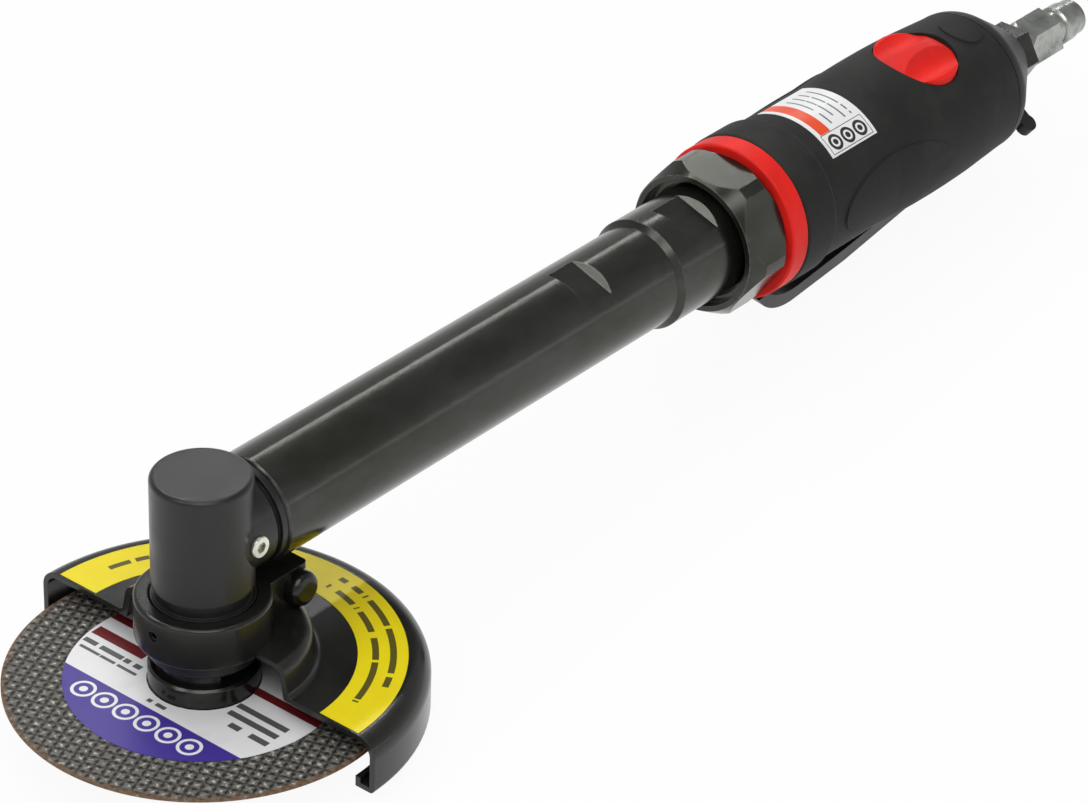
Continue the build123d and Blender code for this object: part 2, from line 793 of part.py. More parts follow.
# ------------------------------------------------------------------ angle head
with BuildPart() as angle_head_housing:
    with BuildSketch(Plane.XZ):
        Polygon(
            (0, race_base),
            (neck_thread_radius, race_base),
            (neck_thread_radius, cap_top),
            (neck_radius, cap_top),
            (neck_radius, band_top),
            (groove_radius, band_top),
            (groove_radius, head_base),
            (head_radius, head_base),
            (head_radius, head_top),
            (0, head_top),
            align=None,
        )
        fillet(near(vertices(), head_radius, head_top), radius=head_edge)
    revolve(axis=Axis.Z)
    with BuildSketch(along):
        Polygon(
            (0, 0),
            (0, boss_root_radius),
            (boss_root_length, boss_radius),
            (boss_length, boss_radius),
            (boss_length, boss_groove_radius),
            (boss_length + boss_groove, boss_groove_radius),
            (boss_length + boss_groove, boss_ring_radius),
            (tube_front, boss_ring_radius),
            (tube_front, tube_socket_radius),
            (tube_front + tube_socket_depth, tube_socket_radius),
            (tube_front + tube_socket_depth, 0),
            align=None,
        )
        fillet(near(vertices(), boss_length, boss_radius), radius=boss_edge)
    revolve(axis=tool_axis)
    # Chamber for the spindle, its gear and bearings, open at the bottom
    with BuildSketch(Plane.XZ):
        Polygon(
            (0, race_base),
            (bearing_8[1], race_base),
            (bearing_8[1], race_base + bearing_8[2]),
            (gear_chamber_radius, race_base + bearing_8[2]),
            (gear_chamber_radius, upper_bush_base),
            (upper_bush_radius, upper_bush_base),
            (upper_bush_radius, upper_bush_base + upper_bush_length),
            (0, upper_bush_base + upper_bush_length),
            align=None,
        )
    revolve(axis=Axis.Z, mode=Mode.SUBTRACT)
    # Chamber for the pinion and its bearing, open towards the tube
    with BuildSketch(along):
        Polygon(
            (0, 0),
            (0, pinion_chamber_radius),
            (pinion_race, pinion_chamber_radius),
            (pinion_race, bearing_8[1]),
            (tube_front + tube_socket_depth, bearing_8[1]),
            (tube_front + tube_socket_depth, 0),
            align=None,
        )
    revolve(axis=tool_axis, mode=Mode.SUBTRACT)
    # Spot face and hole for the grease fitting
    fitting_plane = Plane(
        origin=(grease_fitting_x, grease_spot_depth - boss_radius, axis_height),
        x_dir=(1, 0, 0),
        z_dir=(0, -1, 0),
    )
    with BuildSketch(fitting_plane):
        Circle(grease_flange_radius + side_gap)
    extrude(amount=grease_spot_height, mode=Mode.SUBTRACT)
    with BuildSketch(fitting_plane):
        Circle(grease_thread_radius)
    extrude(amount=-(boss_radius - pinion_chamber_radius + grease_thread_inset), mode=Mode.SUBTRACT)
write(angle_head_housing.part, "angle_head_housing")

with BuildPart() as grease_fitting:
    with BuildSketch(fitting_plane):
        Circle(grease_flange_radius)
    extrude(amount=grease_flange_height)
    chamfer(faces().sort_by(Axis.Y)[0].edges(), length=grease_flange_edge)
    with BuildSketch(fitting_plane):
        Circle(grease_thread_radius)
    extrude(amount=-(boss_radius - pinion_chamber_radius - grease_thread_inset))
    with BuildSketch(fitting_plane.offset(grease_flange_height)):
        RegularPolygon(grease_socket / 2, 6, major_radius=False)
    extrude(amount=-grease_socket_depth, mode=Mode.SUBTRACT)
    with BuildSketch(fitting_plane):
        Circle(grease_hole_radius)
    extrude(amount=-boss_radius, mode=Mode.SUBTRACT)
write(grease_fitting.part, "grease_fitting")

with BuildPart() as bearing_cap:
    with BuildSketch(Plane.XZ):
        Polygon(
            (spindle_shoulder_radius + cap_bore_gap, cap_base),
            (cap_radius, cap_base),
            (cap_radius, cap_top),
            (neck_thread_radius, cap_top),
            (neck_thread_radius, race_base),
            (spindle_shoulder_radius + cap_bore_gap, race_base),
            align=None,
        )
        chamfer(near(vertices(), cap_radius, cap_base), length=cap_edge)
        chamfer(near(vertices(), cap_radius, cap_top), length=cap_edge / 2)
    revolve(axis=Axis.Z)
write(bearing_cap.part, "bearing_cap")

with BuildPart() as spindle_upper_bush:
    with BuildSketch(Plane.XY.offset(upper_bush_base)):
        Circle(upper_bush_radius)
        Circle(spindle_radius + running_gap, mode=Mode.SUBTRACT)
    extrude(amount=upper_bush_length)
write(spindle_upper_bush.part, "spindle_upper_bush")

with BuildPart() as pinion_lock_ring:
    with BuildSketch(across(lock_ring_front)):
        Circle(bearing_8[1])
        Circle(lock_ring_bore_radius, mode=Mode.SUBTRACT)
    extrude(amount=lock_ring_length)
write(pinion_lock_ring.part, "pinion_lock_ring")

with BuildPart() as pinion_journal_nut:
    with BuildSketch(across(lock_ring_front)):
        RegularPolygon(journal_nut_radius, 6)
        Circle(pinion_journal_radius, mode=Mode.SUBTRACT)
    extrude(amount=journal_nut_length)
write(pinion_journal_nut.part, "pinion_journal_nut")

# ----------------------------------------------------------------------- guard
# Half section, turned from the -Y side through +X to the +Y side
guard_section = Plane(origin=(0, 0, 0), x_dir=(0, -1, 0), z_dir=(-1, 0, 0))
hub_foot = guard_hub_radius + guard_hub_flare
with BuildPart() as guard_shell:
    with BuildSketch(guard_section):
        Polygon(
            (0, guard_hub_top),
            (guard_hub_radius, guard_hub_top),
            (hub_foot, guard_plate_top),
            (guard_radius, guard_plate_top),
            (guard_radius, -guard_drop),
            (0, -guard_drop),
            align=None,
        )
        fillet(near(vertices(), guard_radius, guard_plate_top), radius=guard_shoulder)
        fillet(near(vertices(), guard_radius, -guard_drop), radius=guard_sheet)
        fillet(near(vertices(), guard_hub_radius, guard_hub_top), radius=2 * guard_sheet)
        fillet(near(vertices(), hub_foot, guard_plate_top), radius=guard_sheet)
    revolve(axis=Axis.Z, revolution_arc=180)
    with BuildSketch(guard_section):
        Polygon(
            (0, guard_hub_top - guard_sheet),
            (guard_hub_radius - guard_sheet, guard_hub_top - guard_sheet),
            (hub_foot - guard_sheet, guard_plate_top - guard_sheet),
            (guard_radius - guard_sheet, guard_plate_top - guard_sheet),
            (guard_radius - guard_sheet, guard_sheet - guard_drop),
            (guard_radius - guard_lip, guard_sheet - guard_drop),
            (guard_radius - guard_lip, guard_lip_rise - guard_drop),
            (guard_radius - guard_lip - guard_sheet, guard_lip_rise - guard_drop),
            (guard_radius - guard_lip - guard_sheet, -guard_drop),
            (0, -guard_drop),
            align=None,
        )
        inner_shoulder = near(vertices(), guard_radius - guard_sheet, guard_plate_top - guard_sheet)
        fillet(inner_shoulder, radius=guard_shoulder - guard_sheet)
        inner_hub = near(vertices(), guard_hub_radius - guard_sheet, guard_hub_top - guard_sheet)
        fillet(inner_hub, radius=guard_sheet)
    revolve(axis=Axis.Z, revolution_arc=180, mode=Mode.SUBTRACT)
    # The collar is welded into the middle of the hub
    with BuildSketch(Plane.XY.offset(guard_hub_top - 2 * guard_sheet)):
        Circle(collar_radius)
    extrude(amount=3 * guard_sheet, mode=Mode.SUBTRACT)
write(guard_shell.part, "guard_shell")

with BuildPart() as guard_collar:
    with BuildSketch(Plane.XZ):
        Polygon(*box_profile(neck_radius + running_gap, collar_radius, band_base, band_top), align=None)
        chamfer(near(vertices(), neck_radius, band_top), length=0.6 * collar_edge)
        fillet(near(vertices(), collar_radius, band_top), radius=collar_edge)
        fillet(near(vertices(), collar_radius, band_base), radius=0.8 * collar_edge)
    revolve(axis=Axis.Z)
    # Clamp ears on the hub's deck, beside the slit
    with BuildSketch(Plane.XY.offset(guard_hub_top)) as ears:
        with Locations(((ear_reach + neck_radius - ear_bite) / 2, 0)):
            Rectangle(ear_reach - neck_radius + ear_bite, 2 * ear_half_width)
        fillet(ears.vertices().group_by(Axis.X)[-1], radius=ear_edge)
        Circle(neck_radius + running_gap, mode=Mode.SUBTRACT)
    extrude(amount=band_top - guard_hub_top)
    with BuildSketch(Plane.XY.offset(band_base)):
        Circle(neck_radius + running_gap)
        with Locations(((neck_radius + ear_reach) / 2, 0)):
            Rectangle(ear_reach - neck_radius + 2 * ear_bite, collar_slit)
    extrude(amount=collar_height, mode=Mode.SUBTRACT)
    with BuildSketch(Plane.XZ.offset(-ear_half_width)):
        with Locations((clamp_screw_x, clamp_screw_z)):
            Circle(clamp_screw_radius + running_gap)
    extrude(amount=2 * ear_half_width, mode=Mode.SUBTRACT)
    # Radial hole for the set screw
    set_screw_plane = Plane(
        origin=(0, 0, (band_base + band_top) / 2 + set_screw_rise),
        x_dir=(0, 0, 1),
        z_dir=(cos(radians(set_screw_angle)), sin(radians(set_screw_angle)), 0),
    )
    with BuildSketch(set_screw_plane):
        Circle(set_screw_radius)
    extrude(amount=collar_radius + collar_edge, mode=Mode.SUBTRACT)
write(guard_collar.part, "guard_collar")

with BuildPart() as guard_set_screw:
    with BuildSketch(set_screw_plane.offset(neck_radius + running_gap)):
        Circle(set_screw_radius)
    extrude(amount=collar_radius - neck_radius - set_screw_sink)
    with BuildSketch(set_screw_plane.offset(collar_radius + running_gap - set_screw_sink)):
        RegularPolygon(set_screw_socket / 2, 6, major_radius=False)
    extrude(amount=-set_screw_socket_depth, mode=Mode.SUBTRACT)
write(guard_set_screw.part, "guard_set_screw")

with BuildPart() as guard_clamp_screw:
    head_plane = Plane.XZ.offset(ear_half_width)
    with BuildSketch(head_plane):
        with Locations((clamp_screw_x, clamp_screw_z)):
            Circle(clamp_head_radius)
    extrude(amount=clamp_head_height)
    fillet(faces().sort_by(Axis.Y)[0].edges(), radius=clamp_head_edge)
    with BuildSketch(head_plane):
        with Locations((clamp_screw_x, clamp_screw_z)):
            Circle(clamp_screw_radius)
    extrude(amount=-(2 * ear_half_width + clamp_nut_height + clamp_screw_end))
write(guard_clamp_screw.part, "guard_clamp_screw")

with BuildPart() as guard_clamp_nut:
    with BuildSketch(Plane.XZ.offset(-ear_half_width)):
        with Locations((clamp_screw_x, clamp_screw_z)):
            RegularPolygon(clamp_nut_flats / 2, 6, major_radius=False)
            Circle(clamp_screw_radius, mode=Mode.SUBTRACT)
    extrude(amount=-clamp_nut_height)
write(guard_clamp_nut.part, "guard_clamp_nut")

with BuildPart() as guard_label:
    with BuildSketch(Plane.XY.offset(guard_plate_top)):
        Circle(guard_label_outer)
        Circle(guard_label_inner, mode=Mode.SUBTRACT)
        with Locations((guard_label_setback - guard_label_outer, 0)):
            Rectangle(2 * guard_label_outer, 3 * guard_label_outer, mode=Mode.SUBTRACT)
    extrude(amount=film)
write(guard_label.part, "guard_label")


# --------------------------------------------------------------- tube and sleeve
def wrench_flats(radius, start, length, depth):
    """A pair of blocks that, taken away, leave two flats across a round bar."""
    flat = radius - depth
    turn = radians(flat_angle)
    with BuildPart(mode=Mode.PRIVATE) as blocks:
        with BuildSketch(Plane(centre, x_dir=(1, 0, 0), z_dir=(0, -cos(turn), -sin(turn)))):
            Polygon(
                (start, flat),
                (start + length, flat),
                (start + length + 2 * flat_run_out, flat + 2 * depth),
                (start + length + 2 * flat_run_out, 2 * radius),
                (start, 2 * radius),
                align=None,
            )
            mirror(about=Plane.XZ)
        extrude(amount=1.5 * radius, both=True)
    return blocks.part


with BuildPart() as extension_tube:
    with BuildSketch(along):
        Polygon(
            (tube_front, tube_socket_radius),
            (tube_front, tube_radius),
            (tube_end, tube_radius),
            (tube_end, tube_tail_radius),
            (tube_end + tube_tail_length, tube_tail_radius),
            (tube_end + tube_tail_length, tube_bore_radius),
            (tube_front + tube_socket_depth, tube_bore_radius),
            (tube_front + tube_socket_depth, tube_socket_radius),
            align=None,
        )
        chamfer(near(vertices(), tube_front, tube_radius), length=tube_edge)
    revolve(axis=tool_axis)
    add(wrench_flats(tube_radius, tube_flat_start, tube_flat_length, tube_flat_depth), mode=Mode.SUBTRACT)
write(extension_tube.part, "extension_tube")

with BuildPart() as coupling_sleeve:
    with BuildSketch(along):
        Polygon(
            (tube_end, tube_tail_radius),
            (tube_end, sleeve_radius),
            (sleeve_flange_front, sleeve_radius),
            (sleeve_flange_front, thread_radius - running_gap),
            (sleeve_end, thread_radius - running_gap),
            (sleeve_end, tube_tail_radius),
            align=None,
        )
        chamfer(near(vertices(), tube_end, sleeve_radius), length=min(sleeve_edge, 0.8 * sleeve_wall))
    revolve(axis=tool_axis)
    add(
        wrench_flats(sleeve_radius, sleeve_flat_start, sleeve_flat_length, sleeve_flat_depth),
        mode=Mode.SUBTRACT,
    )
write(coupling_sleeve.part, "coupling_sleeve")

with BuildPart() as shaft_steady_bush:
    with BuildSketch(across(steady_bush_station)):
        Circle(tube_bore_radius)
        Circle(drive_shaft_radius + running_gap, mode=Mode.SUBTRACT)
        with PolarLocations((tube_bore_radius + drive_shaft_radius) / 2, steady_bush_hole_count):
            Circle(steady_bush_hole_radius, mode=Mode.SUBTRACT)
    extrude(amount=steady_bush_length)
write(shaft_steady_bush.part, "shaft_steady_bush")

with BuildPart() as clamp_nut:
    with BuildSketch(across(nut_front)):
        RegularPolygon(nut_across_flats / 2, 6, major_radius=False, rotation=nut_angle)
    extrude(amount=nut_end - nut_front)
    # Turned corners, with a chamfer at each end
    with BuildSketch(along):
        Polygon(
            (nut_front, 0),
            (nut_front, nut_across_flats / 2 - nut_face_inset),
            (nut_front + nut_chamfer, nut_corner_radius),
            (nut_end - nut_rear_chamfer, nut_corner_radius),
            (nut_end, nut_across_flats / 2 - nut_face_inset),
            (nut_end, 0),
            align=None,
        )
    revolve(axis=tool_axis, mode=Mode.INTERSECT)
    with BuildSketch(along):
        Polygon(
            (nut_front, 0),
            (nut_front, nut_mouth_radius),
            (nut_front + nut_mouth_depth, nut_mouth_radius),
            (nut_front + nut_mouth_depth, nut_lip_radius),
            (sleeve_flange_front, nut_lip_radius),
            (sleeve_flange_front, thread_radius),
            (nut_end, thread_radius),
            (nut_end, 0),
            align=None,
        )
    revolve(axis=tool_axis, mode=Mode.SUBTRACT)
write(clamp_nut.part, "clamp_nut")

# --------------------------------------------------------------- motor housing
port_step = 2 * exhaust_port_spread / (exhaust_port_count - 1)
exhaust_ports = [
    (exhaust_port_circle * cos(radians(angle)), exhaust_port_circle * sin(radians(angle)))
    for middle in (0, 180)
    for angle in [middle - exhaust_port_spread + port_step * i for i in range(exhaust_port_count)]
]

with BuildPart() as motor_housing:
    with BuildSketch(along):
        Polygon(
            (housing_nose, 0),
            (housing_nose, thread_radius),
            (ring_front, thread_radius),
            (ring_front, housing_radius),
            (housing_end, housing_radius),
            (housing_end, inlet_boss_radius),
            (inlet_boss_end, inlet_boss_radius),
            (inlet_boss_end, 0),
            align=None,
        )
    revolve(axis=tool_axis)
    # Lug for the lever pin, under the handle
    with BuildSketch(upright):
        with Locations((pivot_x, -pivot_depth)):
            Circle(pivot_lug_radius)
        with Locations((pivot_x, -pivot_depth + pivot_lug_radius)):
            Rectangle(2 * pivot_lug_radius, 2 * pivot_lug_radius)
    extrude(amount=pivot_lug_half_width, both=True)
    # Bore for the motor stack, air passage and inlet thread
    with BuildSketch(along):
        Polygon(
            (housing_nose, 0),
            (housing_nose, stack_radius),
            (stack_end, stack_radius),
            (stack_end, passage_radius),
            (inlet_boss_end - inlet_thread_depth, passage_radius),
            (inlet_boss_end - inlet_thread_depth, inlet_thread_radius),
            (inlet_boss_end, inlet_thread_radius),
            (inlet_boss_end, 0),
            align=None,
        )
    revolve(axis=tool_axis, mode=Mode.SUBTRACT)
    # Exhaust ports from the motor stack to the rear face
    with BuildSketch(across(stack_end, handle_roll)):
        with Locations(*exhaust_ports):
            Circle(exhaust_port_radius)
    extrude(amount=housing_end - stack_end, mode=Mode.SUBTRACT)
    # Regulator bore with a seat for the knob
    with BuildSketch(level(regulator_stem_base)):
        with Locations((knob_x, 0)):
            Circle(regulator_stem_radius)
    extrude(amount=housing_radius, mode=Mode.SUBTRACT)
    with BuildSketch(level(knob_base)):
        with Locations((knob_x, 0)):
            Circle(knob_radius + knob_gap)
    extrude(amount=housing_radius, mode=Mode.SUBTRACT)
    with BuildSketch(level(0)):
        with Locations((knob_x, 0)):
            Circle(passage_radius)
    extrude(amount=regulator_stem_base, mode=Mode.SUBTRACT)
    # Valve bore from below, with a seat for the flange of its bushing
    with BuildSketch(level(-valve_bore_top)):
        with Locations((valve_x, 0)):
            Circle(valve_bore_radius)
    extrude(amount=-housing_radius, mode=Mode.SUBTRACT)
    with BuildSketch(level(-housing_radius + valve_bushing_flange)):
        with Locations((valve_x, 0)):
            Circle(valve_bushing_flange_radius)
    extrude(amount=-housing_radius, mode=Mode.SUBTRACT)
    with BuildSketch(upright):
        with Locations((pivot_x, -pivot_depth)):
            Circle(pivot_pin_radius)
    extrude(amount=pivot_lug_half_width, both=True, mode=Mode.SUBTRACT)
write(motor_housing.part, "motor_housing")

with BuildPart() as red_ring:
    with BuildSketch(along):
        Polygon(*box_profile(ring_front, ring_end, housing_radius, ring_radius), align=None)
        fillet(near(vertices(), ring_front, ring_radius), radius=ring_edge)
        fillet(near(vertices(), ring_end, ring_radius), radius=ring_rear_edge)
    revolve(axis=tool_axis)
write(red_ring.part, "red_ring")

# ------------------------------------------------------------------ motor stack
with BuildPart() as motor_retainer:
    with BuildSketch(across(stack_front)):
        Circle(stack_radius)
        Circle(stack_radius - retainer_width, mode=Mode.SUBTRACT)
    extrude(amount=retainer_length)
write(motor_retainer.part, "motor_retainer")

with BuildPart() as motor_front_plate:
    with BuildSketch(across(front_plate_front)):
        Circle(stack_radius)
    extrude(amount=front_plate_length)
    with BuildSketch(across(front_plate_front)):
        Circle(bearing_8[1])
    extrude(amount=front_race + bearing_8[2] - front_plate_front, mode=Mode.SUBTRACT)
    with BuildSketch(across(front_plate_front)):
        Circle(rotor_shoulder_radius + plate_bore_gap)
    extrude(amount=front_plate_length, mode=Mode.SUBTRACT)
write(motor_front_plate.part, "motor_front_plate")

with BuildPart() as motor_cylinder:
    with BuildSketch(across(liner_front)):
        Circle(stack_radius)
        with Locations((0, -liner_offset)):
            Circle(liner_bore_radius, mode=Mode.SUBTRACT)
    extrude(amount=liner_end - liner_front)
    # Exhaust slots through the wall on one side
    with BuildSketch(across(liner_front + liner_slot_inset)):
        with PolarLocations(stack_radius, liner_slot_count, 90 - port_angle, 2 * port_angle):
            Rectangle(3 * liner_wall, liner_slot_width)
    extrude(amount=liner_end - liner_front - 2 * liner_slot_inset, mode=Mode.SUBTRACT)
write(motor_cylinder.part, "motor_cylinder")

with BuildPart() as motor_rear_plate:
    with BuildSketch(across(liner_end)):
        Circle(stack_radius)
    extrude(amount=rear_plate_length)
    with BuildSketch(across(rear_race)):
        Circle(bearing_6[1])
    extrude(amount=rear_plate_length, mode=Mode.SUBTRACT)
    with BuildSketch(across(liner_end)):
        Circle(rear_plate_bore_radius)
    extrude(amount=rear_plate_length, mode=Mode.SUBTRACT)
    with BuildSketch(across(liner_end, handle_roll)):
        with Locations(*exhaust_ports):
            Circle(exhaust_port_radius)
    extrude(amount=rear_plate_length, mode=Mode.SUBTRACT)
write(motor_rear_plate.part, "motor_rear_plate")

rotor_front = liner_front + rotor_end_gap
rotor_length = liner_end - liner_front - 2 * rotor_end_gap
with BuildPart() as rotor:
    with BuildSketch(across(rotor_front)):
        Circle(rotor_radius)
        with PolarLocations(rotor_radius - vane_depth / 2, vane_count):
            Rectangle(vane_depth + 2 * vane_slot_floor, vane_thickness + 2 * vane_gap, mode=Mode.SUBTRACT)
    extrude(amount=rotor_length)
    with BuildSketch(across(rotor_front)):
        Circle(rotor_front_radius)
    extrude(amount=-(rotor_front - rotor_nose))
    with BuildSketch(across(front_race + bearing_8[2])):
        Circle(rotor_shoulder_radius)
    extrude(amount=rotor_front - front_race - bearing_8[2])
    with BuildSketch(across(rotor_front + rotor_length)):
        Circle(rotor_rear_radius)
    extrude(amount=rear_race + bearing_6[2] - rotor_rear_inset - rotor_front - rotor_length)
write(rotor.part, "rotor")

with BuildPart() as rotor_vanes:
    with BuildSketch(across(rotor_front)):
        with PolarLocations(rotor_radius - (vane_depth + vane_slot_floor) / 2, vane_count):
            Rectangle(vane_depth - vane_slot_floor, vane_thickness)
    extrude(amount=rotor_length)
write(rotor_vanes.part, "rotor_vanes")

with BuildPart() as drive_shaft:
    with BuildSketch(across(pinion_tail)):
        Circle(drive_shaft_radius)
    extrude(amount=rotor_nose - pinion_tail)
    with BuildSketch(across(pinion_tail)):
        Circle(pinion_socket_radius)
    extrude(amount=-(pinion_socket_depth - pinion_socket_gap))
write(drive_shaft.part, "drive_shaft")

with BuildPart() as shaft_coupling:
    with BuildSketch(across(coupling_station)):
        Circle(coupling_radius)
        Circle(drive_shaft_radius, mode=Mode.SUBTRACT)
    extrude(amount=coupling_length)
    with BuildSketch(across(rotor_nose)):
        Circle(rotor_front_radius)
    extrude(amount=coupling_length, mode=Mode.SUBTRACT)
write(shaft_coupling.part, "shaft_coupling")

# ------------------------------------------------------------------------ grip
def grip_skin(rise):
    """The grip without its cut-outs, with its outside raised from the finished size."""
    with BuildPart() as skin:
        with BuildSketch(along):
            with BuildLine():
                Polyline(
                    (grip_waist_end, grip_waist_radius + rise),
                    (grip_band_end + grip_band_step, grip_waist_radius + rise),
                    (grip_band_end, grip_band_radius + rise),
                    (ring_end, grip_band_radius + rise),
                    (ring_end, housing_radius),
                    (housing_end, housing_radius),
                    (housing_end, grip_tail_radius + rise),
                    (grip_tail_start, grip_swell_radius + rise),
                )
                Spline(
                    (grip_tail_start, grip_swell_radius + rise),
                    (grip_swell_start, grip_swell_radius + rise),
                    (grip_waist_end, grip_waist_radius + rise),
                )
            make_face()
            fillet(near(vertices(), ring_end, grip_band_radius + rise), radius=grip_band_edge)
            fillet(near(vertices(), grip_band_end, grip_band_radius + rise), radius=grip_band_edge)
        revolve(axis=tool_axis)
    return skin.part


def grip_pad(plane, x, half_length, half_width):
    """A slightly raised oval on the grip, seen along the plane's normal."""
    with BuildPart() as pad:
        with BuildSketch(plane):
            with Locations((x, 0)):
                Ellipse(half_length, half_width)
        extrude(amount=grip_band_radius)
        add(grip_skin(grip_pad_rise), mode=Mode.INTERSECT)
    return pad.part


with BuildPart() as handle_grip:
    add(grip_skin(0))
    add(grip_pad(level(0), top_pad_x, top_pad_half_length, top_pad_half_width))
    for angle in (side_pad_angle, -side_pad_angle):
        lean = across(0, handle_roll + angle)
        pad_plane = Plane(origin=centre, x_dir=(1, 0, 0), z_dir=lean.y_dir)
        add(grip_pad(pad_plane, side_pad_x, side_pad_half_length, side_pad_half_width))
    # Hole around the knob
    with BuildSketch(level(knob_base)):
        with Locations((knob_x, 0)):
            Circle(knob_radius + knob_gap)
    extrude(amount=housing_radius, mode=Mode.SUBTRACT)
    # Flat relief above the lever and a slot over its pivot
    relief_start = lever_tip_x - grip_relief_lead
    with BuildSketch(upright):
        Polygon(
            *box_profile(relief_start, pivot_x, -2 * grip_band_radius, -grip_relief_depth),
            align=None,
        )
        chamfer(near(vertices(), relief_start, -grip_relief_depth), length=grip_relief_edge)
    extrude(amount=grip_relief_half_width, both=True, mode=Mode.SUBTRACT)
    with BuildSketch(upright):
        slot_start, slot_end = valve_x - grip_slot_lead, pivot_x + grip_slot_tail
        slot_top = grip_slot_bite - housing_radius
        Polygon(*box_profile(slot_start, slot_end, -2 * grip_band_radius, slot_top), align=None)
    extrude(amount=lever_half_width + side_gap, both=True, mode=Mode.SUBTRACT)
write(handle_grip.part, "handle_grip")

with BuildPart() as grip_label:
    with BuildSketch(across(grip_label_start, handle_roll)):
        with BuildLine():
            arc_start, arc_size = 90 - grip_label_half_angle, 2 * grip_label_half_angle
            outer_arc = CenterArc((0, 0), grip_waist_radius + film, arc_start, arc_size)
            inner_arc = CenterArc((0, 0), grip_waist_radius, arc_start, arc_size)
            Line(outer_arc @ 0, inner_arc @ 0)
            Line(outer_arc @ 1, inner_arc @ 1)
        make_face()
    extrude(amount=grip_label_length)
write(grip_label.part, "grip_label")

# ---------------------------------------------------------- exhaust deflector
with BuildPart() as exhaust_deflector:
    with BuildSketch(along):
        Polygon(
            (deflector_front, 0),
            (deflector_front, deflector_radius),
            (deflector_shoulder, deflector_radius),
            (deflector_end, deflector_end_radius),
            (deflector_end, 0),
            align=None,
        )
        fillet(near(vertices(), deflector_shoulder, deflector_radius), radius=deflector_shoulder_edge)
        fillet(near(vertices(), deflector_end, deflector_end_radius), radius=deflector_collar_edge)
    revolve(axis=tool_axis)
    # Tab that the thumb turns it by
    tab_plane = Plane(
        origin=centre, x_dir=(1, 0, 0), z_dir=across(0, deflector_tab_angle).x_dir
    )
    tab_centre = deflector_tab_reach - deflector_tab_radius
    with BuildSketch(tab_plane):
        with Locations((deflector_tab_x, -tab_centre)):
            Circle(deflector_tab_radius)
        Polygon(
            (deflector_tab_x - 0.8 * deflector_tab_radius, -tab_centre),
            (deflector_tab_x + 0.8 * deflector_tab_radius, -tab_centre),
            (deflector_tab_x + 0.6 * deflector_tab_radius, -deflector_end_radius),
            (deflector_tab_x - 2.4 * deflector_tab_radius, -deflector_end_radius),
            align=None,
        )
    extrude(amount=deflector_tab_width / 2, both=True)
    with BuildSketch(along):
        Polygon(
            (deflector_front, 0),
            (deflector_front, deflector_radius - deflector_wall),
            (deflector_shoulder - deflector_wall / 2, deflector_radius - deflector_wall),
            (deflector_end - deflector_wall, deflector_end_radius - deflector_wall / 2),
            (deflector_end - deflector_wall, inlet_boss_radius + running_gap),
            (deflector_end, inlet_boss_radius + running_gap),
            (deflector_end, 0),
            align=None,
        )
    revolve(axis=tool_axis, mode=Mode.SUBTRACT)
    # Exhaust slots through one side of the cone
    with BuildSketch(across(deflector_slot_front)):
        with PolarLocations(
            deflector_radius - deflector_slot_depth / 4,
            deflector_slot_count,
            start_angle=-2 * deflector_slot_pitch,
            angular_range=(deflector_slot_count - 1) * deflector_slot_pitch,
        ):
            Rectangle(deflector_slot_depth, deflector_slot_width)
    extrude(amount=deflector_slot_length, mode=Mode.SUBTRACT)
write(exhaust_deflector.part, "exhaust_deflector")

with BuildPart() as exhaust_muffler:
    with BuildSketch(along):
        muffler_front = deflector_front + muffler_setback
        Polygon(
            (muffler_front, inlet_boss_radius),
            (muffler_front, muffler_radius),
            (muffler_front + muffler_rim_length, muffler_radius),
            (muffler_front + muffler_length, muffler_radius - muffler_taper),
            (muffler_front + muffler_length, inlet_boss_radius),
            align=None,
        )
    revolve(axis=tool_axis)
write(exhaust_muffler.part, "exhaust_muffler")

# ------------------------------------------------------------------- air inlet
with BuildPart() as inlet_bushing:
    thread_start = inlet_boss_end - inlet_thread_depth + strainer_length
    with BuildSketch(across(thread_start)):
        Circle(inlet_thread_radius)
    extrude(amount=inlet_boss_end - thread_start)
    with BuildSketch(across(inlet_boss_end)):
        RegularPolygon(bushing_hex_flats / 2, 6, major_radius=False)
    extrude(amount=bushing_hex_end - inlet_boss_end)
    chamfer(faces().sort_by(Axis.X)[-1].edges(), length=bushing_edge)
    with BuildSketch(across(thread_start)):
        Circle(bushing_bore_radius)
    extrude(amount=bushing_hex_end - thread_start, mode=Mode.SUBTRACT)
write(inlet_bushing.part, "inlet_bushing")

with BuildPart() as inlet_strainer:
    with BuildSketch(along):
        strainer_start = inlet_boss_end - inlet_thread_depth
        Polygon(
            (strainer_start, strainer_tip_radius - strainer_wall),
            (strainer_start, strainer_tip_radius),
            (thread_start - strainer_rim, inlet_thread_radius),
            (thread_start, inlet_thread_radius),
            (thread_start, inlet_thread_radius - strainer_rim_wall),
            (thread_start - strainer_inner_rim, inlet_thread_radius - strainer_rim_wall),
            align=None,
        )
    revolve(axis=tool_axis)
write(inlet_strainer.part, "inlet_strainer")

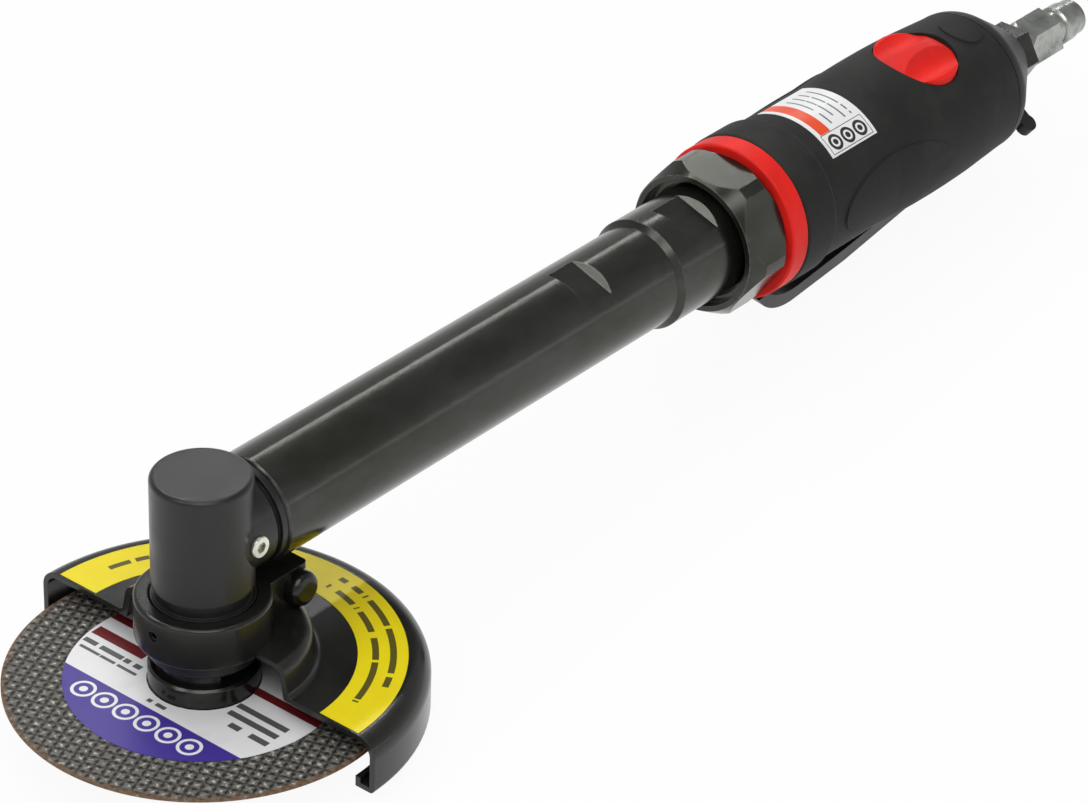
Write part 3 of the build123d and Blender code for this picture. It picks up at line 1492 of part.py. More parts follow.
with BuildPart() as air_plug:
    with BuildSketch(across(bushing_hex_end)):
        RegularPolygon(plug_hex_flats / 2, 6, major_radius=False, rotation=plug_hex_turn)
    extrude(amount=plug_hex_length)
    # Turned bevel on the front of the hexagon, where it seats on the bushing
    with BuildSketch(along):
        Polygon(
            (bushing_hex_end, 0),
            (bushing_hex_end, plug_seat_radius),
            (bushing_hex_end + plug_hex_bevel, plug_corner_radius),
            (plug_hex_end, plug_corner_radius),
            (plug_hex_end, 0),
            align=None,
        )
    revolve(axis=tool_axis, mode=Mode.INTERSECT)
    with BuildSketch(along):
        Polygon(
            (plug_front, 0),
            (plug_front, bushing_bore_radius),
            (bushing_hex_end, bushing_bore_radius),
            (plug_hex_end, plug_neck_radius),
            (plug_neck_end, plug_neck_radius),
            (plug_neck_end, plug_collar_radius),
            (plug_collar_end, plug_collar_radius),
            (plug_collar_end, plug_nose_radius),
            (plug_end, plug_nose_radius),
            (plug_end, 0),
            align=None,
        )
        chamfer(near(vertices(), plug_neck_end, plug_collar_radius), length=plug_collar_edge)
        fillet(near(vertices(), plug_end, plug_nose_radius), radius=plug_nose_edge)
    revolve(axis=tool_axis)
    with BuildSketch(across(plug_front)):
        Circle(plug_bore_radius)
    extrude(amount=plug_end - plug_front, mode=Mode.SUBTRACT)
write(air_plug.part, "air_plug")

# -------------------------------------------------------------- throttle lever
lug_gap_half = pivot_lug_half_width + side_gap
lever_half_rise = (lever_depth + lever_tip_depth) / 2
with BuildPart() as throttle_lever:
    with BuildSketch(upright):
        with BuildLine():
            ThreePointArc(
                (lever_tip_x, -lever_tip_depth),
                (lever_tip_x + lever_tip_bow, -lever_half_rise - lever_tip_belly),
                (lever_low_x, -lever_depth),
            )
            Polyline(
                (lever_low_x, -lever_depth),
                (lever_knee_x, -lever_knee_depth),
                (lever_heel_x, -lever_heel_depth),
                (pivot_x + 0.7 * pivot_lug_radius, -pivot_depth - pivot_lug_radius),
                (pivot_x + pivot_lug_radius, -pivot_depth + 0.3 * pivot_lug_radius),
                (pivot_x + 0.4 * pivot_lug_radius, -pivot_depth + pivot_lug_radius),
                (pivot_x - 0.7 * pivot_lug_radius, -pivot_depth + pivot_lug_radius),
                (pivot_x - 1.2 * pivot_lug_radius, -pivot_depth + 0.3 * pivot_lug_radius),
                (lever_heel_x - 1, -lever_heel_depth + lever_heel_thickness),
                (lever_knee_x - 1, -lever_knee_depth + lever_thickness),
                (lever_low_x + 2, -lever_depth + lever_thickness),
            )
            ThreePointArc(
                (lever_low_x + 2, -lever_depth + lever_thickness),
                (lever_tip_x + lever_inner_bow, -lever_half_rise + lever_inner_belly),
                (lever_tip_x + lever_tip_thickness, 1 - lever_tip_depth),
            )
            Line((lever_tip_x + lever_tip_thickness, 1 - lever_tip_depth), (lever_tip_x, -lever_tip_depth))
        make_face()
    extrude(amount=lever_half_width, both=True)
    # Fork around the housing's lug
    with BuildSketch(upright):
        fork_low, fork_high = -pivot_depth - fork_half_height, -pivot_depth + fork_half_height
        Polygon(*box_profile(pivot_x - fork_lead, pivot_x + fork_tail, fork_low, fork_high), align=None)
    extrude(amount=lug_gap_half, both=True, mode=Mode.SUBTRACT)
    with BuildSketch(upright):
        with Locations((pivot_x, -pivot_depth)):
            Circle(pivot_pin_radius + running_gap)
    extrude(amount=lever_half_width, both=True, mode=Mode.SUBTRACT)
write(throttle_lever.part, "throttle_lever")

with BuildPart() as lever_pin:
    with BuildSketch(upright):
        with Locations((pivot_x, -pivot_depth)):
            Circle(pivot_pin_radius)
    extrude(amount=lever_half_width, both=True)
write(lever_pin.part, "lever_pin")

# -------------------------------------------------------------- throttle valve
lever_top_drop = lever_knee_depth - lever_thickness - lever_heel_depth + lever_heel_thickness
lever_top_slope = lever_top_drop / (lever_heel_x - lever_knee_x)
lever_top_at_knee = lever_knee_depth - lever_thickness
lever_top_at_valve = lever_top_at_knee - (valve_x - lever_knee_x + 1) * lever_top_slope
with BuildPart() as valve_bushing:
    with BuildSketch(level(-valve_bushing_top)):
        with Locations((valve_x, 0)):
            Circle(valve_bore_radius)
    extrude(amount=-(housing_radius - valve_bushing_flange - valve_bushing_top))
    with BuildSketch(level(-housing_radius + valve_bushing_flange)):
        with Locations((valve_x, 0)):
            Circle(valve_bushing_flange_radius)
    extrude(amount=-valve_bushing_flange)
    with BuildSketch(level(-valve_bushing_top)):
        with Locations((valve_x, 0)):
            Circle(valve_stem_radius + running_gap)
    extrude(amount=-housing_radius, mode=Mode.SUBTRACT)
write(valve_bushing.part, "valve_bushing")

valve_head_top = valve_bushing_top - valve_head_height - running_gap
with BuildPart() as valve_stem:
    with BuildSketch(level(-valve_head_top)):
        with Locations((valve_x, 0)):
            Circle(valve_head_radius)
    extrude(amount=-valve_head_height)
    with BuildSketch(level(-valve_head_top)):
        with Locations((valve_x, 0)):
            Circle(valve_stem_radius)
    extrude(amount=-(lever_top_at_valve - valve_stem_gap - valve_head_top))
    fillet(edges().sort_by(Axis((0, 0, 0), up))[0], radius=valve_stem_edge)
write(valve_stem.part, "valve_stem")

spring_height = valve_head_top - valve_bore_top - valve_spring_gap - valve_spring_play - 2 * valve_spring_wire
with BuildPart() as valve_spring:
    spring_foot = level(valve_spring_wire + valve_spring_play - valve_head_top)
    with BuildLine(spring_foot.move(Location((valve_x, 0, 0)))) as coil:
        Helix(
            pitch=spring_height / valve_spring_turns,
            height=spring_height,
            radius=valve_spring_radius,
        )
    with BuildSketch(Plane(origin=coil.line @ 0, z_dir=coil.line % 0)):
        Circle(valve_spring_wire)
    sweep()
write(valve_spring.part, "valve_spring")

# ------------------------------------------------------------- power regulator
knob_foot = centre + Vector(knob_x, 0, 0)
knob_axis = Axis(knob_foot, up)
crown_radius = (knob_radius**2 + knob_rise**2) / (2 * knob_rise)
with BuildPart() as regulator_knob:
    with BuildSketch(level(regulator_stem_base + side_gap)):
        with Locations((knob_x, 0)):
            Circle(regulator_stem_radius - running_gap)
    extrude(amount=knob_base - regulator_stem_base)
    with BuildSketch(level(knob_base + running_gap)):
        with Locations((knob_x, 0)):
            Circle(knob_radius)
    extrude(amount=knob_crown - knob_base)
    # Crowned top
    with Locations(knob_foot + up * (knob_crown - crown_radius)):
        Sphere(crown_radius, mode=Mode.INTERSECT)
    # Two finger scoops that leave a ridge along the handle
    with BuildSketch(across(knob_x - knob_radius, handle_roll)):
        with Locations((0, knob_rim + knob_scoop_radius - knob_scoop_sink)):
            with GridLocations(2 * knob_scoop_offset, 0, 2, 1):
                Circle(knob_scoop_radius)
    extrude(amount=2 * knob_radius, mode=Mode.SUBTRACT)
    # Seal groove round the stem
    with BuildSketch(upright):
        with Locations((knob_x + regulator_stem_radius - seal_section, knob_base - seal_drop)):
            Rectangle(2.4 * seal_section, 2.4 * seal_section)
    revolve(axis=knob_axis, mode=Mode.SUBTRACT)
write(regulator_knob.part, "regulator_knob")

with BuildPart() as regulator_seal:
    with BuildSketch(upright):
        with Locations((knob_x + regulator_stem_radius - seal_section - running_gap, knob_base - seal_drop)):
            Circle(seal_section)
    revolve(axis=knob_axis)
write(regulator_seal.part, "regulator_seal")
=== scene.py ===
# Long-reach air cut-off tool: finishes, labels, valve coil, light and camera on its frame
import math

import bmesh
import bpy
from mathutils import Matrix, Vector
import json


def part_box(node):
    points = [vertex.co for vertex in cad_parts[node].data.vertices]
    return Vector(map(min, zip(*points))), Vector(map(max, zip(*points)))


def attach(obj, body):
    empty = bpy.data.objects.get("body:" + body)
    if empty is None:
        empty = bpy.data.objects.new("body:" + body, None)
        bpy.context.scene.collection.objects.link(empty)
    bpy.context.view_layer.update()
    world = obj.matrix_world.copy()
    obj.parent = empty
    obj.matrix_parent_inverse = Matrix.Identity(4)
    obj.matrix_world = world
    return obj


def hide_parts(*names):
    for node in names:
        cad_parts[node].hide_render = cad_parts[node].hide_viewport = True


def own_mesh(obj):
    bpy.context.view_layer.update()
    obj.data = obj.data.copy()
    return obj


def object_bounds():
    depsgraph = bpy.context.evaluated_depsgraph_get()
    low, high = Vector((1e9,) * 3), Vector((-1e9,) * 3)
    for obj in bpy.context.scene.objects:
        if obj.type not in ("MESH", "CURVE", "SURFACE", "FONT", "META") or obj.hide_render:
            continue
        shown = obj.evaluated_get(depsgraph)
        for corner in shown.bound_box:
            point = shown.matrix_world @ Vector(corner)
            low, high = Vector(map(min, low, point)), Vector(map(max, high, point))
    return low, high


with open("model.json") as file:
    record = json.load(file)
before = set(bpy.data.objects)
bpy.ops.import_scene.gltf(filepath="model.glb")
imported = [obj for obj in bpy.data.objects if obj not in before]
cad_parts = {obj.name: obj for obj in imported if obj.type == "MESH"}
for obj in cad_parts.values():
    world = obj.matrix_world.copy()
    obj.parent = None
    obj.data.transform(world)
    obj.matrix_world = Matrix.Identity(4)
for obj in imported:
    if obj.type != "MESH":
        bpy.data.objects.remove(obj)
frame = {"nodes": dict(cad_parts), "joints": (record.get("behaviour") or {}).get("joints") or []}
cadLow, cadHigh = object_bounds()
nodes = frame["nodes"]
mm = 0.001
tubeLow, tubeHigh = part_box("extension_tube")
toolHeight = (tubeLow.z + tubeHigh.z) / 2  # the tool axis above the wheel seat
print("frame loaded:", len(nodes), "nodes")

# the camera stands ahead of the wheel, above it and on the -Y side
cameraSettings = {
    "place": Vector((-631.526, -608.368, 630.530)) * mm,
    "azimuth": -51.396,  # degrees, 0 looks along +Y
    "elevation": 32.067,
    "roll": 2.004,
    "lens": 144.07,  # mm
    "sensor": 36,  # mm wide
    "reach": (0.05, 20),  # nearest and farthest, in metres
}


def makeCamera(settings):
    azimuth = math.radians(settings["azimuth"])
    elevation = math.radians(settings["elevation"])
    back = Vector((
        math.sin(azimuth) * math.cos(elevation),
        -math.cos(azimuth) * math.cos(elevation),
        math.sin(elevation),
    ))
    right = Vector((math.cos(azimuth), math.sin(azimuth), 0))
    turn = Matrix((right, back.cross(right), back)).transposed()
    turn = turn @ Matrix.Rotation(math.radians(settings["roll"]), 3, "Z")
    camera = bpy.data.objects.new("camera", bpy.data.cameras.new("camera"))
    bpy.context.scene.collection.objects.link(camera)
    camera.matrix_world = Matrix.Translation(settings["place"]) @ turn.to_4x4()
    camera.data.lens = settings["lens"]
    camera.data.sensor_width = settings["sensor"]
    camera.data.clip_start, camera.data.clip_end = settings["reach"]
    bpy.context.scene.camera = camera


makeCamera(cameraSettings)
print("camera made")


class Value:
    # one socket; arithmetic on it adds Math nodes
    def __init__(self, shader, socket):
        self.shader, self.socket = shader, socket

    def maths(self, operation, *others):
        inputs = dict(enumerate((self, *others)))
        return self.shader.node("Math", {"operation": operation}, inputs)

    def __add__(self, other):
        return self.maths("ADD", other)

    def __radd__(self, other):
        return self.maths("ADD", other)

    def __sub__(self, other):
        return self.maths("SUBTRACT", other)

    def __rsub__(self, other):
        return (self * -1) + other

    def __mul__(self, other):
        return self.maths("MULTIPLY", other)

    def __rmul__(self, other):
        return self.maths("MULTIPLY", other)

    def __truediv__(self, other):
        return self.maths("DIVIDE", other)

    def __pow__(self, other):
        return self.maths("POWER", other)

    def __gt__(self, other):
        return self.maths("GREATER_THAN", other)

    def __lt__(self, other):
        return self.maths("LESS_THAN", other)

    def __abs__(self):
        return self.maths("ABSOLUTE")

    def sine(self):
        return self.maths("SINE")

    def fraction(self):
        return self.maths("FRACT")

    def largest(self, other):
        return self.maths("MAXIMUM", other)

    def between(self, low, high):
        return (self > low) * (self < high)

    def ease(self, low, high, start=0.0, end=1.0):
        # start below low, end above high, and a soft step between them
        settings = {"interpolation_type": "SMOOTHSTEP"}
        inputs = {0: self, 1: low, 2: high, 3: start, 4: end}
        return self.shader.node("MapRange", settings, inputs)


class Shader:
    # a Principled material or the world; plain values are set, and a Value is linked
    edgeSamples = 4

    def __init__(self, name, tree=None, **sockets):
        if tree is None:
            self.material = bpy.data.materials.new(name)
            self.material.use_nodes = True
            tree = self.material.node_tree
            self.surface = tree.nodes["Principled BSDF"]
        self.tree = tree
        for key, value in sockets.items():
            self.feed(self.surface.inputs[key.replace("_", " ")], value)

    def feed(self, socket, value):
        if isinstance(value, Value):
            self.tree.links.new(value.socket, socket)
        elif hasattr(value, "__len__") and socket.type == "RGBA" and len(value) == 3:
            socket.default_value = (*value, 1)
        else:
            socket.default_value = value

    def node(self, kind, settings=None, inputs=None, output=0):
        made = self.tree.nodes.new("ShaderNode" + kind)
        for key, value in (settings or {}).items():
            setattr(made, key, value)
        for key, value in (inputs or {}).items():
            self.feed(made.inputs[key], value)
        return Value(self, made.outputs[output])

    def place(self):
        return self.node("TexCoord", output="Object")

    def axes(self, vector=None):
        vector = vector or self.place()
        split = self.node("SeparateXYZ", None, {0: vector})
        return [Value(self, out) for out in split.socket.node.outputs]

    def stretch(self, scale, turn=(0, 0, 0)):
        inputs = {"Vector": self.place(), "Scale": scale, "Rotation": turn}
        return self.node("Mapping", None, inputs)

    def noise(self, scale, detail=3, roughness=0.5, vector=None):
        inputs = {"Vector": vector or self.place(), "Scale": scale, "Detail": detail,
                  "Roughness": roughness}
        return self.node("TexNoise", None, inputs)

    def mix(self, factor, first, second):
        inputs = {0: factor, 6: first, 7: second}
        return self.node("Mix", {"data_type": "RGBA"}, inputs, 2)

    def rounded(self, radius):
        return self.node("Bevel", {"samples": self.edgeSamples}, {"Radius": radius})

    def edges(self, radius, low=0.02, high=0.2):
        # 1 along sharp edges and 0 on the faces between them
        inputs = {0: self.rounded(radius), 1: self.node("NewGeometry", output="Normal")}
        dot = self.node("VectorMath", {"operation": "DOT_PRODUCT"}, inputs, "Value")
        return (1 - dot).ease(low, high)

    def bump(self, height, distance, strength=1.0, edge=None):
        inputs = {"Height": height, "Distance": distance, "Strength": strength}
        if edge:
            inputs["Normal"] = self.rounded(edge)
        self.feed(self.surface.inputs["Normal"], self.node("Bump", None, inputs))

    def paint(self, color, roughness):
        self.feed(self.surface.inputs["Base Color"], color)
        self.feed(self.surface.inputs["Roughness"], roughness)

    def rays(self):
        # 1 for what the camera sees, and for what reflections and clear pieces show
        outs = self.node("LightPath").socket.node.outputs
        kinds = ("Camera", "Glossy", "Transmission")
        return [Value(self, outs[f"Is {kind} Ray"]) for kind in kinds]


def dress(material, *names):
    for name in names:
        for materialSlot in nodes[name].material_slots:
            materialSlot.material = material


def shade(color, amount):
    return [part * amount for part in color]


# painted metal: mottled, with the paint rubbed off along the edges
enamel = {
    "color": (0.009, 0.0095, 0.009),
    "worn": (0.04, 0.04, 0.036),
    "rough": 0.34,
    "mottle": 90,
    "pale": 1.5,  # the mottle's lighter spots, as a share of the colour
    "rubWidth": 0.5 * mm,
    "rubScale": 400,
    "rub": 0.6,
    "grain": 1500,
    "depth": 0.04 * mm,
    "edge": 0.35 * mm,  # rounding of sharp edges
}
guardPaint = {**enamel, "color": (0.009, 0.009, 0.008), "worn": (0.03, 0.03, 0.03), "rough": 0.22}
leverPaint = {**enamel, "rough": 0.38}


def makeEnamel(name, settings):
    shader = Shader(name, Specular_IOR_Level=0.42, Coat_Weight=0.06, Coat_Roughness=0.15)
    mottle = shader.noise(settings["mottle"], detail=4)
    chips = shader.noise(settings["rubScale"]).ease(0.35, 0.6)
    rub = shader.edges(settings["rubWidth"]) * chips
    pale = shade(settings["color"], settings["pale"])
    base = shader.mix(mottle.ease(0.3, 0.7), settings["color"], pale)
    rough = settings["rough"]
    shader.paint(
        color=shader.mix(rub * settings["rub"], base, settings["worn"]),
        roughness=mottle.ease(0.3, 0.7, rough * 0.85, rough * 1.2),
    )
    grain = shader.noise(settings["grain"])
    shader.bump(grain, settings["depth"], 0.5, edge=settings["edge"])
    return shader.material


# turned bar, blackened and oiled: rings round X, blotches and rubbed edges
oxide = {
    "color": (0.068, 0.071, 0.065),
    "dark": (0.046, 0.046, 0.038),
    "bright": (0.42, 0.43, 0.4),
    "rough": 0.12,
    "rings": (3200, 60, 60),
    "ringRough": 0.08,
    "blotches": (32, 70, 70),
    "blotchRough": 0.1,
    "rubWidth": 0.45 * mm,
    "rubScale": 500,
    "rub": 0.55,
    "depth": 0.006 * mm,
    "edge": 0.3 * mm,
}
darkOxide = {**oxide, "color": (0.06, 0.06, 0.056), "dark": (0.03, 0.03, 0.028),
             "bright": (0.3, 0.3, 0.28)}


def makeOxideSteel(name, settings):
    shader = Shader(name, Metallic=0.85, Specular_IOR_Level=0.5)
    rings = shader.noise(1, detail=3, vector=shader.stretch(settings["rings"]))
    place = shader.stretch(settings["blotches"])
    blotch = shader.noise(1, detail=6, roughness=0.7, vector=place)
    chips = shader.noise(settings["rubScale"]).ease(0.3, 0.6)
    rub = shader.edges(settings["rubWidth"]) * chips
    base = shader.mix(blotch.ease(0.35, 0.7), settings["dark"], settings["color"])
    uneven = blotch * settings["blotchRough"] + rings * settings["ringRough"]
    shader.paint(
        color=shader.mix(rub * settings["rub"], base, settings["bright"]),
        roughness=uneven + settings["rough"],
    )
    shader.bump(rings, settings["depth"], 0.5, edge=settings["edge"])
    return shader.material


# plated plug and grease fitting: faint turning marks, dull stains
zinc = {
    "color": (0.42, 0.44, 0.41),
    "dark": (0.17, 0.18, 0.17),
    "rough": 0.14,
    "turned": (2600, 100, 100),
    "turnedRough": 0.1,
    "stains": 160,
    "stainRough": 0.2,
    "depth": 0.008 * mm,
    "edge": 0.25 * mm,
}
brightZinc = {**zinc, "color": (0.85, 0.84, 0.76), "dark": (0.6, 0.6, 0.54)}


def makeZinc(name, settings):
    shader = Shader(name, Metallic=1.0)
    turned = shader.noise(1, detail=2, vector=shader.stretch(settings["turned"]))
    stain = shader.noise(settings["stains"], detail=4)
    uneven = stain * settings["stainRough"] + turned * settings["turnedRough"]
    shader.paint(
        color=shader.mix(stain.ease(0.4, 0.75), settings["color"], settings["dark"]),
        roughness=uneven + settings["rough"],
    )
    shader.bump(turned, settings["depth"], 0.6, edge=settings["edge"])
    return shader.material


# bare metals of the gears, the motor and the valve
machined = {"grain": 900, "cloud": 120, "shade": 0.75, "depth": 0.01 * mm, "edge": 0.2 * mm}
innerMetals = {
    "groundSteel": {"color": (0.5, 0.5, 0.5), "rough": 0.25, "metallic": 1.0},
    "castIron": {"color": (0.16, 0.16, 0.165), "rough": 0.55, "metallic": 0.8},
    "housingAlloy": {"color": (0.6, 0.61, 0.62), "rough": 0.4, "metallic": 1.0},
    "bronze": {"color": (0.6, 0.4, 0.17), "rough": 0.32, "metallic": 1.0},
}


def makeMachined(name, settings):
    settings = {**machined, **settings}
    shader = Shader(name, Metallic=settings["metallic"])
    grain = shader.noise(settings["grain"])
    cloud = shader.noise(settings["cloud"], detail=4)
    dull = shade(settings["color"], settings["shade"])
    shader.paint(
        color=shader.mix(cloud.ease(0.35, 0.7), settings["color"], dull),
        roughness=grain * 0.15 + (settings["rough"] - 0.07),
    )
    shader.bump(grain, settings["depth"], 0.4, edge=settings["edge"])
    return shader.material


# plastics, seal and felt; the depth of the grain is in mm
mould = {"cloud": 70, "shade": 0.82, "edge": 0.3 * mm}
moulded = {
    "redPlastic": {"color": (0.88, 0.018, 0.012), "rough": 0.5, "grain": 700, "depth": 0.01},
    "blackPlastic": {"color": (0.022, 0.023, 0.023), "rough": 0.45, "grain": 1600, "depth": 0.03},
    "vaneComposite": {"color": (0.2, 0.12, 0.06), "rough": 0.6, "grain": 1200, "depth": 0.02},
    "sealRubber": {"color": (0.015, 0.015, 0.015), "rough": 0.5, "grain": 900, "depth": 0.01},
    "pressedFelt": {"color": (0.55, 0.53, 0.46), "rough": 0.95, "grain": 2500, "depth": 0.15},
}


def makeMoulded(name, settings):
    settings = {**mould, **settings}
    shader = Shader(name, Specular_IOR_Level=0.22)
    grain = shader.noise(settings["grain"], detail=2)
    cloud = shader.noise(settings["cloud"])
    dull = shade(settings["color"], settings["shade"])
    shader.paint(
        color=shader.mix(cloud.ease(0.35, 0.7), settings["color"], dull),
        roughness=grain * 0.1 + (settings["rough"] - 0.05),
    )
    shader.bump(grain, settings["depth"] * mm, 0.6, edge=settings["edge"])
    return shader.material


# the grip's rubber: fine leather grain with faint dusty patches
gripRubber = {
    "color": (0.014, 0.0145, 0.0135),
    "pale": (0.026, 0.027, 0.025),
    "rough": 0.66,
    "cells": 1700,
    "grain": 2600,
    "dust": 55,
    "depth": 0.09 * mm,
    "edge": 0.5 * mm,
}


def makeGripRubber(name, settings):
    shader = Shader(name, Specular_IOR_Level=0.22)
    inputs = {"Vector": shader.place(), "Scale": settings["cells"]}
    cells = shader.node("TexVoronoi", {"feature": "F1"}, inputs)
    grain = shader.noise(settings["grain"], detail=2)
    dust = shader.noise(settings["dust"], detail=5, roughness=0.6)
    shader.paint(
        color=shader.mix(dust.ease(0.4, 0.75), settings["color"], settings["pale"]),
        roughness=dust * 0.15 + (settings["rough"] - 0.07),
    )
    height = cells * 0.7 + grain * 0.5
    shader.bump(height, settings["depth"], 0.8, edge=settings["edge"])
    return shader.material


# cutting wheel: glass mesh under grit, with a scorched brown rim; the pits between the threads
# carry painted shade and the thread tops painted glints
wheel = {
    "mesh": 2.15 * mm,  # from thread to thread
    "turn": math.radians(24),
    "thread": (0.14, 0.13, 0.11),
    # near-black painted shade for the recesses between the threads
    "pitShade": (0.006, 0.006, 0.005),
    "dust": (0.2, 0.19, 0.165),
    "brown": (0.2, 0.105, 0.045),
    # pale colour of the painted glints, grit catching the light on the thread tops
    "paintedGlint": (0.6, 0.6, 0.55),
    "rim": (48.4 * mm, 49.9 * mm),  # radii where the brown begins and is full
    "ragged": 3 * mm,  # how far the brown's edge wanders
    "depth": 0.6 * mm,
}


def makeWheelGrit(name, settings):
    shader = Shader(name, Specular_IOR_Level=0.5)
    wander = shader.noise(300, detail=2)
    threadsPerMetre = [math.pi / settings["mesh"]] * 3
    mesh = shader.stretch(threadsPerMetre, turn=(0, 0, settings["turn"]))
    u, v, _ = shader.axes(mesh)
    u, v = (u + wander * 0.9).sine(), (v + wander * 0.9).sine()
    weave = abs(u).largest(abs(v)) + u * v * 0.42  # one thread passes over the other
    grit = shader.noise(1500, detail=4, roughness=0.7)
    x, y, _ = shader.axes()
    radius = (x * x + y * y) ** 0.5
    edge = radius + (shader.noise(350) - 0.5) * settings["ragged"]
    rim = edge.ease(*settings["rim"])
    # the low parts of the weave are darkened towards the pit colour: painted shade in the
    # recesses
    threads = shader.mix(weave.ease(0.6, 1.1), settings["pitShade"], settings["thread"])
    threads = shader.mix(grit.ease(0.35, 0.7), threads, settings["dust"])
    threads = shader.mix(weave.ease(0.35, 0.8), settings["pitShade"], threads)
    # bright spots on the thread tops: painted glints, with a lower roughness there
    paintedGlints = (shader.noise(1100, detail=1) * weave).ease(0.66, 0.8)
    color = shader.mix(paintedGlints * 0.85, threads, settings["paintedGlint"])
    shader.paint(
        color=shader.mix(rim * 0.75, color, settings["brown"]),
        roughness=0.55 - paintedGlints * 0.25,
    )
    shader.bump(weave * 0.8 + grit * 0.5, settings["depth"])
    return shader.material


# printed films: plain bars, rings and dashes on a faintly grained film
filmDepth = 0.01 * mm  # of the grain


def dashes(shader, along, across, centre, height, length=3.0, gap=0.39):
    # a row of dashes of uneven length; centre, height and length are in mm
    spot = shader.node("CombineXYZ", None, {0: along / (length * mm), 1: centre})
    runs = shader.noise(1.0, detail=1, vector=spot) > gap
    return (abs(across - centre * mm) < height * mm / 2) * runs


wheelPrint = {
    "white": (0.84, 0.84, 0.85),
    "smudged": (0.6, 0.6, 0.6),
    "violet": (0.055, 0.03, 0.30),
    "red": (0.16, 0.012, 0.016),
    "ink": (0.012, 0.012, 0.014),
    "grain": 2400,
    "chord": -18.7 * mm,  # the violet segment lies beyond this x
    "ringX": -23.6 * mm,
    "ringY": 18.4 * mm,  # first of the rings
    "ringStep": 7.16 * mm,
    "ringCount": 6,
    "ringRadius": 3.3 * mm,
    "ringInner": 0.74,  # shares of the ring's radius
    "ringCore": 0.34,
    "barX": (-5.2 * mm, -1.7 * mm),
    "barY": (16.5 * mm, 34.0 * mm),
    "stripeX": (2.7 * mm, 5.4 * mm),
    "rows": (  # centre in x, height, then the ends in y, in mm
        (-8.1, 1.7, 13.8, 33.4),
        (-10.9, 1.0, 12.8, 32.2),
        (-16.3, 1.3, -2.4, 3.7),
        (-3.1, 1.9, -30.7, -14.0),
        (-6.7, 1.9, -30.6, -14.6),
        (-10.4, 1.9, -30.8, -18.2),
    ),
}


def makeWheelPrint(name, settings):
    shader = Shader(name, Specular_IOR_Level=0.5)
    x, y, _ = shader.axes()
    smudge = shader.noise(150, detail=4)
    white = shader.mix(smudge.ease(0.5, 0.8) * 0.25, settings["white"], settings["smudged"])
    color = shader.mix(x < settings["chord"], white, settings["violet"])
    step, radius = settings["ringStep"], settings["ringRadius"]
    place = (settings["ringY"] + step / 2 - y) / step
    dy, dx = (place.fraction() - 0.5) * step, x - settings["ringX"]
    reach = (dx * dx + dy * dy) ** 0.5
    inRow = place.between(0, settings["ringCount"])
    for share, ink in ((1, "white"), (settings["ringInner"], "violet"),
                       (settings["ringCore"], "white")):
        color = shader.mix((reach < radius * share) * inRow, color, settings[ink])
    bar = x.between(*settings["barX"]) * y.between(*settings["barY"])
    bars = bar.largest(x.between(*settings["stripeX"]))
    color = shader.mix(bars, color, settings["red"])
    for centre, height, low, high in settings["rows"]:
        row = dashes(shader, y, x, centre, height) * y.between(low * mm, high * mm)
        color = shader.mix(row * 0.9, color, settings["ink"])
    shader.paint(color=color, roughness=smudge * 0.2 + 0.3)
    shader.bump(shader.noise(settings["grain"], detail=2), filmDepth, 0.4)
    return shader.material


guardPrint = {
    "yellow": (0.93, 0.76, 0.008),
    "deep": (0.85, 0.68, 0.006),
    "ink": (0.02, 0.018, 0.01),
    "grain": 1200,
    "rowHeight": 1.7,  # mm
    "dashLength": 3.6,
    "rows": (  # radius in mm, then the ends in degrees from +X towards -Y
        (46.6, 4, 66),
        (42.2, 4, 77),
        (44.4, -76, -25),
    ),
}


def makeGuardPrint(name, settings):
    shader = Shader(name, Specular_IOR_Level=0.3)
    cloud = shader.noise(60)
    x, y, _ = shader.axes()
    radius = (x * x + y * y) ** 0.5
    turn = shader.node("Math", {"operation": "ARCTAN2"}, {0: y * -1, 1: x})
    fade = cloud.ease(0.4, 0.75) * 0.6
    color = shader.mix(fade, settings["yellow"], settings["deep"])
    height, length = settings["rowHeight"], settings["dashLength"]
    for centre, start, end in settings["rows"]:
        row = dashes(shader, turn * (centre * mm), radius, centre, height, length)
        row = row * turn.between(math.radians(start), math.radians(end))
        color = shader.mix(row * 0.9, color, settings["ink"])
    shader.paint(color=color, roughness=cloud * 0.1 + 0.26)
    shader.bump(shader.noise(settings["grain"], detail=2), filmDepth, 0.3)
    return shader.material


gripPrint = {  # t runs back from the film's front edge, s up from its lower end
    "white": (0.85, 0.85, 0.86),
    "orange": (0.83, 0.075, 0.015),
    "ink": (0.02, 0.02, 0.02),
    "grain": 2200,
    "end": math.radians(46),  # the film's lower end, from +Z towards -Y
    "barT": (1.6 * mm, 6.0 * mm),
    "barS": 7.2 * mm,
    "ringT": 1.9 * mm,  # where the row of rings begins
    "ringS": 3.7 * mm,
    "ringStep": 5.6 * mm,
    "ringCount": 3,
    "ringRadius": 2.5 * mm,
    "ringInner": 0.62,  # shares of the ring's radius
    "ringCore": 0.36,
    "frameT": (1.2 * mm, 19.2 * mm),
    "frameS": (0.7 * mm, 7.0 * mm),
    "overrun": 0.1 * mm,  # so that the frame's corners meet
    "halfLine": 0.11 * mm,
    "rows": (8.6, 11.5, 14.4, 17.3),  # their centres in t, in mm
    "rowHeight": 0.62,
    "dashLength": 2.0,
    "rowS": (8.5 * mm, 25.0 * mm),
}


